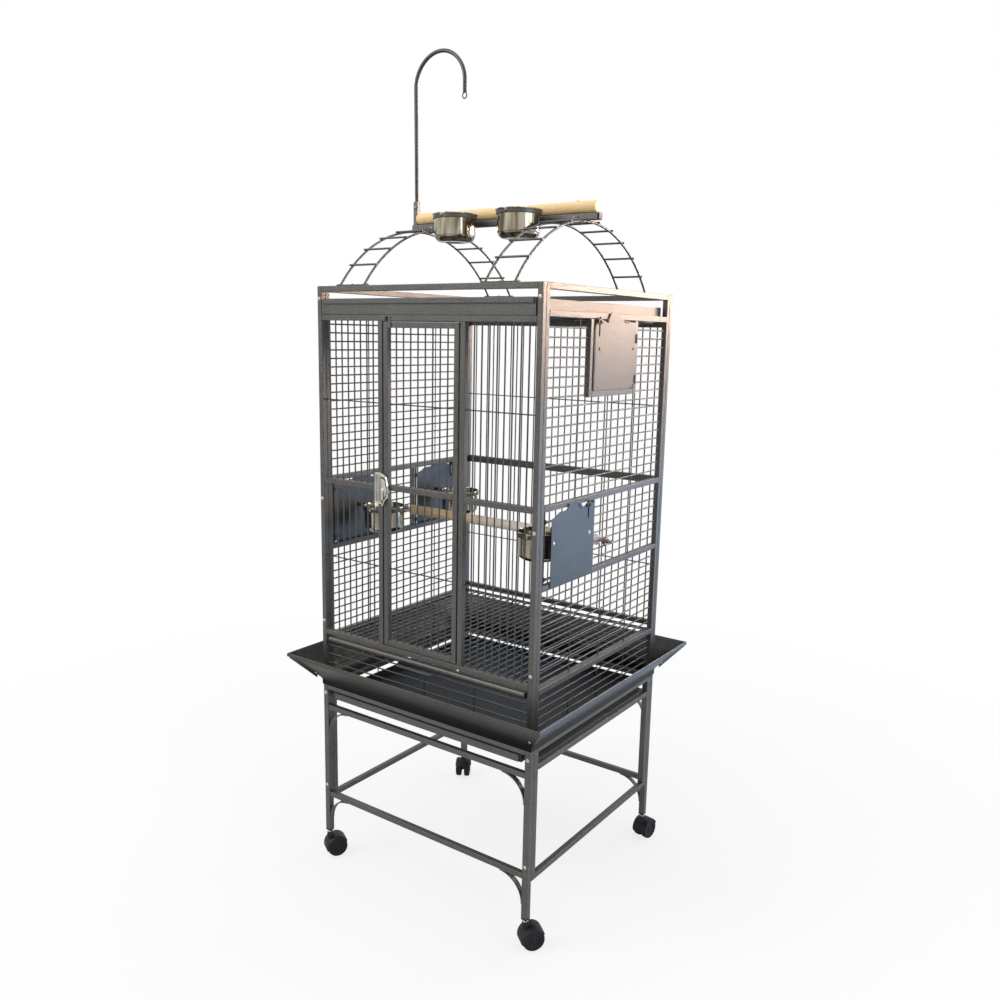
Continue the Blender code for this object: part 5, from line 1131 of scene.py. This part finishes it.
# Inner perch
PERCH_Y = 0.012
PERCH_Z = (MIDDLE[1] + MIDDLE[2]) / 2
PERCH_END = INNER_W - 0.0125
NUT_IN = BAR_X - WIRE - GAP
NUT_OUT = BAR_X + WIRE + GAP
WASHER = mm((9.5, 0), (9.5, 1.4))
WING = mm((0, 0), (4, 0), (11.5, 4.5), (12.5, 9), (9.5, 10), (4, 5.5))
wooden_bar("perch_wood", WOOD_PALE, -PERCH_END, PERCH_END, 0.012, 0.0012, PERCH_Y, PERCH_Z, 36,
           "inner_perch")
fit = []
wings = []
for side in (-1, 1):
    fit.append((rod, (side * (PERCH_END - 0.004), PERCH_Y, PERCH_Z),
                (side * (HALF_W + 0.012), PERCH_Y, PERCH_Z), 0.003, 14))
    fit += [(lathe, profile, (side * x, PERCH_Y, PERCH_Z), (side, 0, 0), steps)
            for x, profile, steps in ((PERCH_END, mm((8.5, 0), (9.5, 0.6), (9.5, 1.8)), 24),
                                      (NUT_IN - 0.0014, WASHER, 24), (NUT_OUT, WASHER, 24),
                                      (NUT_OUT + 0.0014, mm((5.2, 0), (4.6, 6)), 18))]
    wings += [(prism, WING, (side * (NUT_OUT + 0.0022), PERCH_Y + way * 0.0015, PERCH_Z - 0.001),
               (0, way, 0), (side, 0, 0), (0, 0, 0.002)) for way in (-1, 1)]
build("perch_fittings", NUT, fit, soften=0.0003)
build("perch_wings", BRONZE, wings, soften=0.0003)

# Casters, with the turn of each as it stands
WHEEL_R = 0.025
TRAIL = 0.015
WHEEL_IN = 0.005
WHEEL_OUT = WHEEL_IN + 0.0145
WIDE = WHEEL_OUT + 0.0006
HOOD_IN = WHEEL_R + 0.0009
HOOD_OUT = WHEEL_R + 0.0028
STEM_TOP = LEG_FOOT - GAP - WHEEL_R
neck_low = math.sqrt(HOOD_IN ** 2 - TRAIL ** 2)
lip = HOOD_IN - 0.0045
half = [(-WIDE, lip), (-WIDE - 0.0004, HOOD_IN), (-WIDE + 0.0012, HOOD_OUT - 0.0008),
        (-WIDE + 0.0036, HOOD_OUT)]
section = half + [(-y, r) for y, r in half[::-1]]
section += [(WIDE - 0.0004, lip), (WIDE - 0.0005, HOOD_IN), (-WIDE + 0.0005, HOOD_IN),
            (-WIDE + 0.0004, lip)]
web = arc((0, 0), HOOD_IN + 0.0006, -14, 152, 24) + mm((-7.5, -4.5), (0, -8), (7.5, -4.5))
neck = [(0, neck_low), (0.0088, neck_low + 0.001), (0.008, neck_low + 0.0045),
        (0.0074, STEM_TOP - 0.006), (0.0066, STEM_TOP - 0.0045)]
collar = [(r, STEM_TOP + h)
          for r, h in mm((6.2, -5), (6.6, -4.2), (6.6, -1.8), (5.4, -0.8), (5.4, 0))]
tyre = [(r, WHEEL_OUT + h) for r, h in mm((16.8, -1), (22.5, -0.2), (24.2, -1.4), (25, -4.2))]
tyre += [(r, WHEEL_IN + h) for r, h in mm((25, 2.8), (24.4, 0.6), (22.5, 0), (16.8, 0.4))]
hub = [(r, WHEEL_OUT + h) for r, h in mm((4.8, -0.6), (6, -2), (7.5, -3.6), (13, -4), (14.8, -1.8),
                                         (17.2, -1.2))]
hub += [(0.0172, WHEEL_IN + 0.0004), (0.0036, WHEEL_IN + 0.0004), (0.0036, 0)]


def arch(mesh):
    """The hood's section carried round the wheels."""
    angles = [math.radians(-14 + 166 * index / 24) for index in range(25)]
    skin(mesh, [[mesh.verts.new((-r * math.cos(a), y, r * math.sin(a))) for y, r in section]
                for a in angles])


def both(profile, closed=False):
    """A wheel part turned for both wheels of a caster."""
    return [(lathe, [(r, way * h) for r, h in profile], (0, 0, 0), ALONG_Y, 48, closed)
            for way in (-1, 1)]


for name, sx, sy, turn in (("fr", 1, -1, 52), ("fl", -1, -1, 60), ("br", 1, 1, 82),
                           ("bl", -1, 1, -60)):
    spot = Matrix.Translation((sx * (HALF_W - LEG / 2), sy * (HALF_D - LEG / 2), 0))
    spot = spot @ Matrix.Rotation(math.radians(turn), 4, "Z")
    spot = spot @ Matrix.Translation((TRAIL, 0, WHEEL_R))
    caster = "caster_" + name
    wheel = "wheels_" + name
    build(caster + "_hood", PLASTIC,
          [(arch,), (prism, web, (0, -0.004, 0), (-1, 0, 0), UP, (0, 0.008, 0)),
           (lathe, neck, (-TRAIL, 0, 0), UP, 24)], caster, caster, 35, move=spot)
    build(caster + "_stem", ZINC, [(lathe, collar, (-TRAIL, 0, 0), UP, 24)], caster, move=spot)
    build(wheel + "_treads", TREAD, both(tyre, True), wheel, wheel, 35, move=spot)
    build(wheel + "_hubs", PLASTIC, both(hub), wheel, (), 35, move=spot)

# Bolts that join the panels and the stand
heads = [((x, y, z), (0, math.copysign(1, y), 0))
         for x, heights in ((0.2987, (1.378, 0.919, 0.62)), (0.2975, (0.193, 0.436)))
         for x in (-x, x) for y in (FRONT, HALF_D) for z in heights]
bolts("joining_bolts", heads, ZINC)

# Floor, light and camera
FLOOR_GREY = (0.86, 0.86, 0.86, 1)
WHITE = (1, 1, 1, 1)
bpy.ops.mesh.primitive_plane_add(size=40.0, location=(0, 0, -0.0005))
floor = bpy.context.object
floor.name = "studio_floor"
floor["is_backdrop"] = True
made, tree, shader = material("studio_floor", 0.0, 0.9)
shader.inputs["Base Color"].default_value = FLOOR_GREY
glow = node(tree, "Emission", Color=WHITE, Strength=1.0)
seen = node(tree, "LightPath").outputs["Is Camera Ray"]
far = node(tree, "VectorMath", {"operation": "LENGTH"}, [node(tree, "TexCoord").outputs["Object"]])
fade = spread(tree, far.outputs["Value"], 0.78, 1, 0.6, 2.2)
share = node(tree, "Math", {"operation": "MULTIPLY"}, (seen, fade))
blend = node(tree, "MixShader", None, (share.outputs[0], shader.outputs[0], glow.outputs[0]))
feed(tree, tree.nodes["Material Output"].inputs["Surface"], blend.outputs[0])
floor.data.materials.append(made)

world = bpy.data.worlds.new("studio")
bpy.context.scene.world = world
world.use_nodes = True
tree = world.node_tree
tree.nodes.clear()
seen = node(tree, "LightPath").outputs
share = seen["Is Camera Ray"]
for ray in ("Is Glossy Ray", "Is Transmission Ray"):
    share = node(tree, "Math", {"operation": "MAXIMUM"}, (share, seen[ray])).outputs[0]
soft, white = [node(tree, "Background", Color=WHITE, Strength=strength).outputs[0]
               for strength in (0.62, 1.0)]
blend = node(tree, "MixShader", None, (share, soft, white))
node(tree, "OutputWorld", Surface=blend.outputs[0])


def lamp(name, spot, aim, size, energy, colour, tall=None, cone=180.0):
    """A soft area lamp: round, or oval if its height is given."""
    light = bpy.data.lights.new(name, "AREA")
    light.shape = "ELLIPSE" if tall else "DISK"
    light.size = size
    light.size_y = tall or size
    light.energy = energy
    light.color = colour
    light.spread = math.radians(cone)
    thing = bpy.data.objects.new(name, light)
    bpy.context.collection.objects.link(thing)
    thing.location = spot
    thing.visible_camera = False
    way = Vector(aim) - Vector(spot)
    thing.rotation_euler = way.to_track_quat("-Z", "Y").to_euler()


lamp("key", (-1.5, -2.2, 2.85), (0, 0, 1), 1.6, 46.0, (1, 0.98, 0.95))
lamp("side", (3.0, -0.2, 2.0), (0, 0, 0.9), 2.0, 25.0, (0.74, 0.87, 1))
lamp("high", (0.2, 0.4, 3.8), (0, 0, 1.2), 1.6, 25.0, (1, 1, 1))
lamp("warm", (1.62, 2.88, 2.0), (0.3, 0, 1.82), 1.4, 19.8, (1, 0.72, 0.56), 0.9, 56.0)
lamp("cool", (2.0, 2.6, 0.5), (0.3, 0, 0.75), 1.5, 14.5, (0.36, 0.63, 1), 0.9)

FOCAL_PIXELS = 906.651
CAMERA_SPOT = (1.25867, -1.75436, 1.30347)
CAMERA_TURNS = ((35.3752, "Z"), (90 - 10.2684, "X"), (1.1187, "Z"))
camera = bpy.data.cameras.new("camera")
camera.sensor_width = 36.0
camera.lens = camera.sensor_width * FOCAL_PIXELS / 1000
camera.clip_end = 60.0
camera_thing = bpy.data.objects.new("camera", camera)
bpy.context.collection.objects.link(camera_thing)
stand = Matrix.Translation(CAMERA_SPOT)
for angle, axis in CAMERA_TURNS:
    stand = stand @ Matrix.Rotation(math.radians(angle), 4, axis)
camera_thing.matrix_world = stand
bpy.context.scene.camera = camera_thing
bpy.context.scene.view_settings.view_transform = "Standard"

low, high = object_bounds()
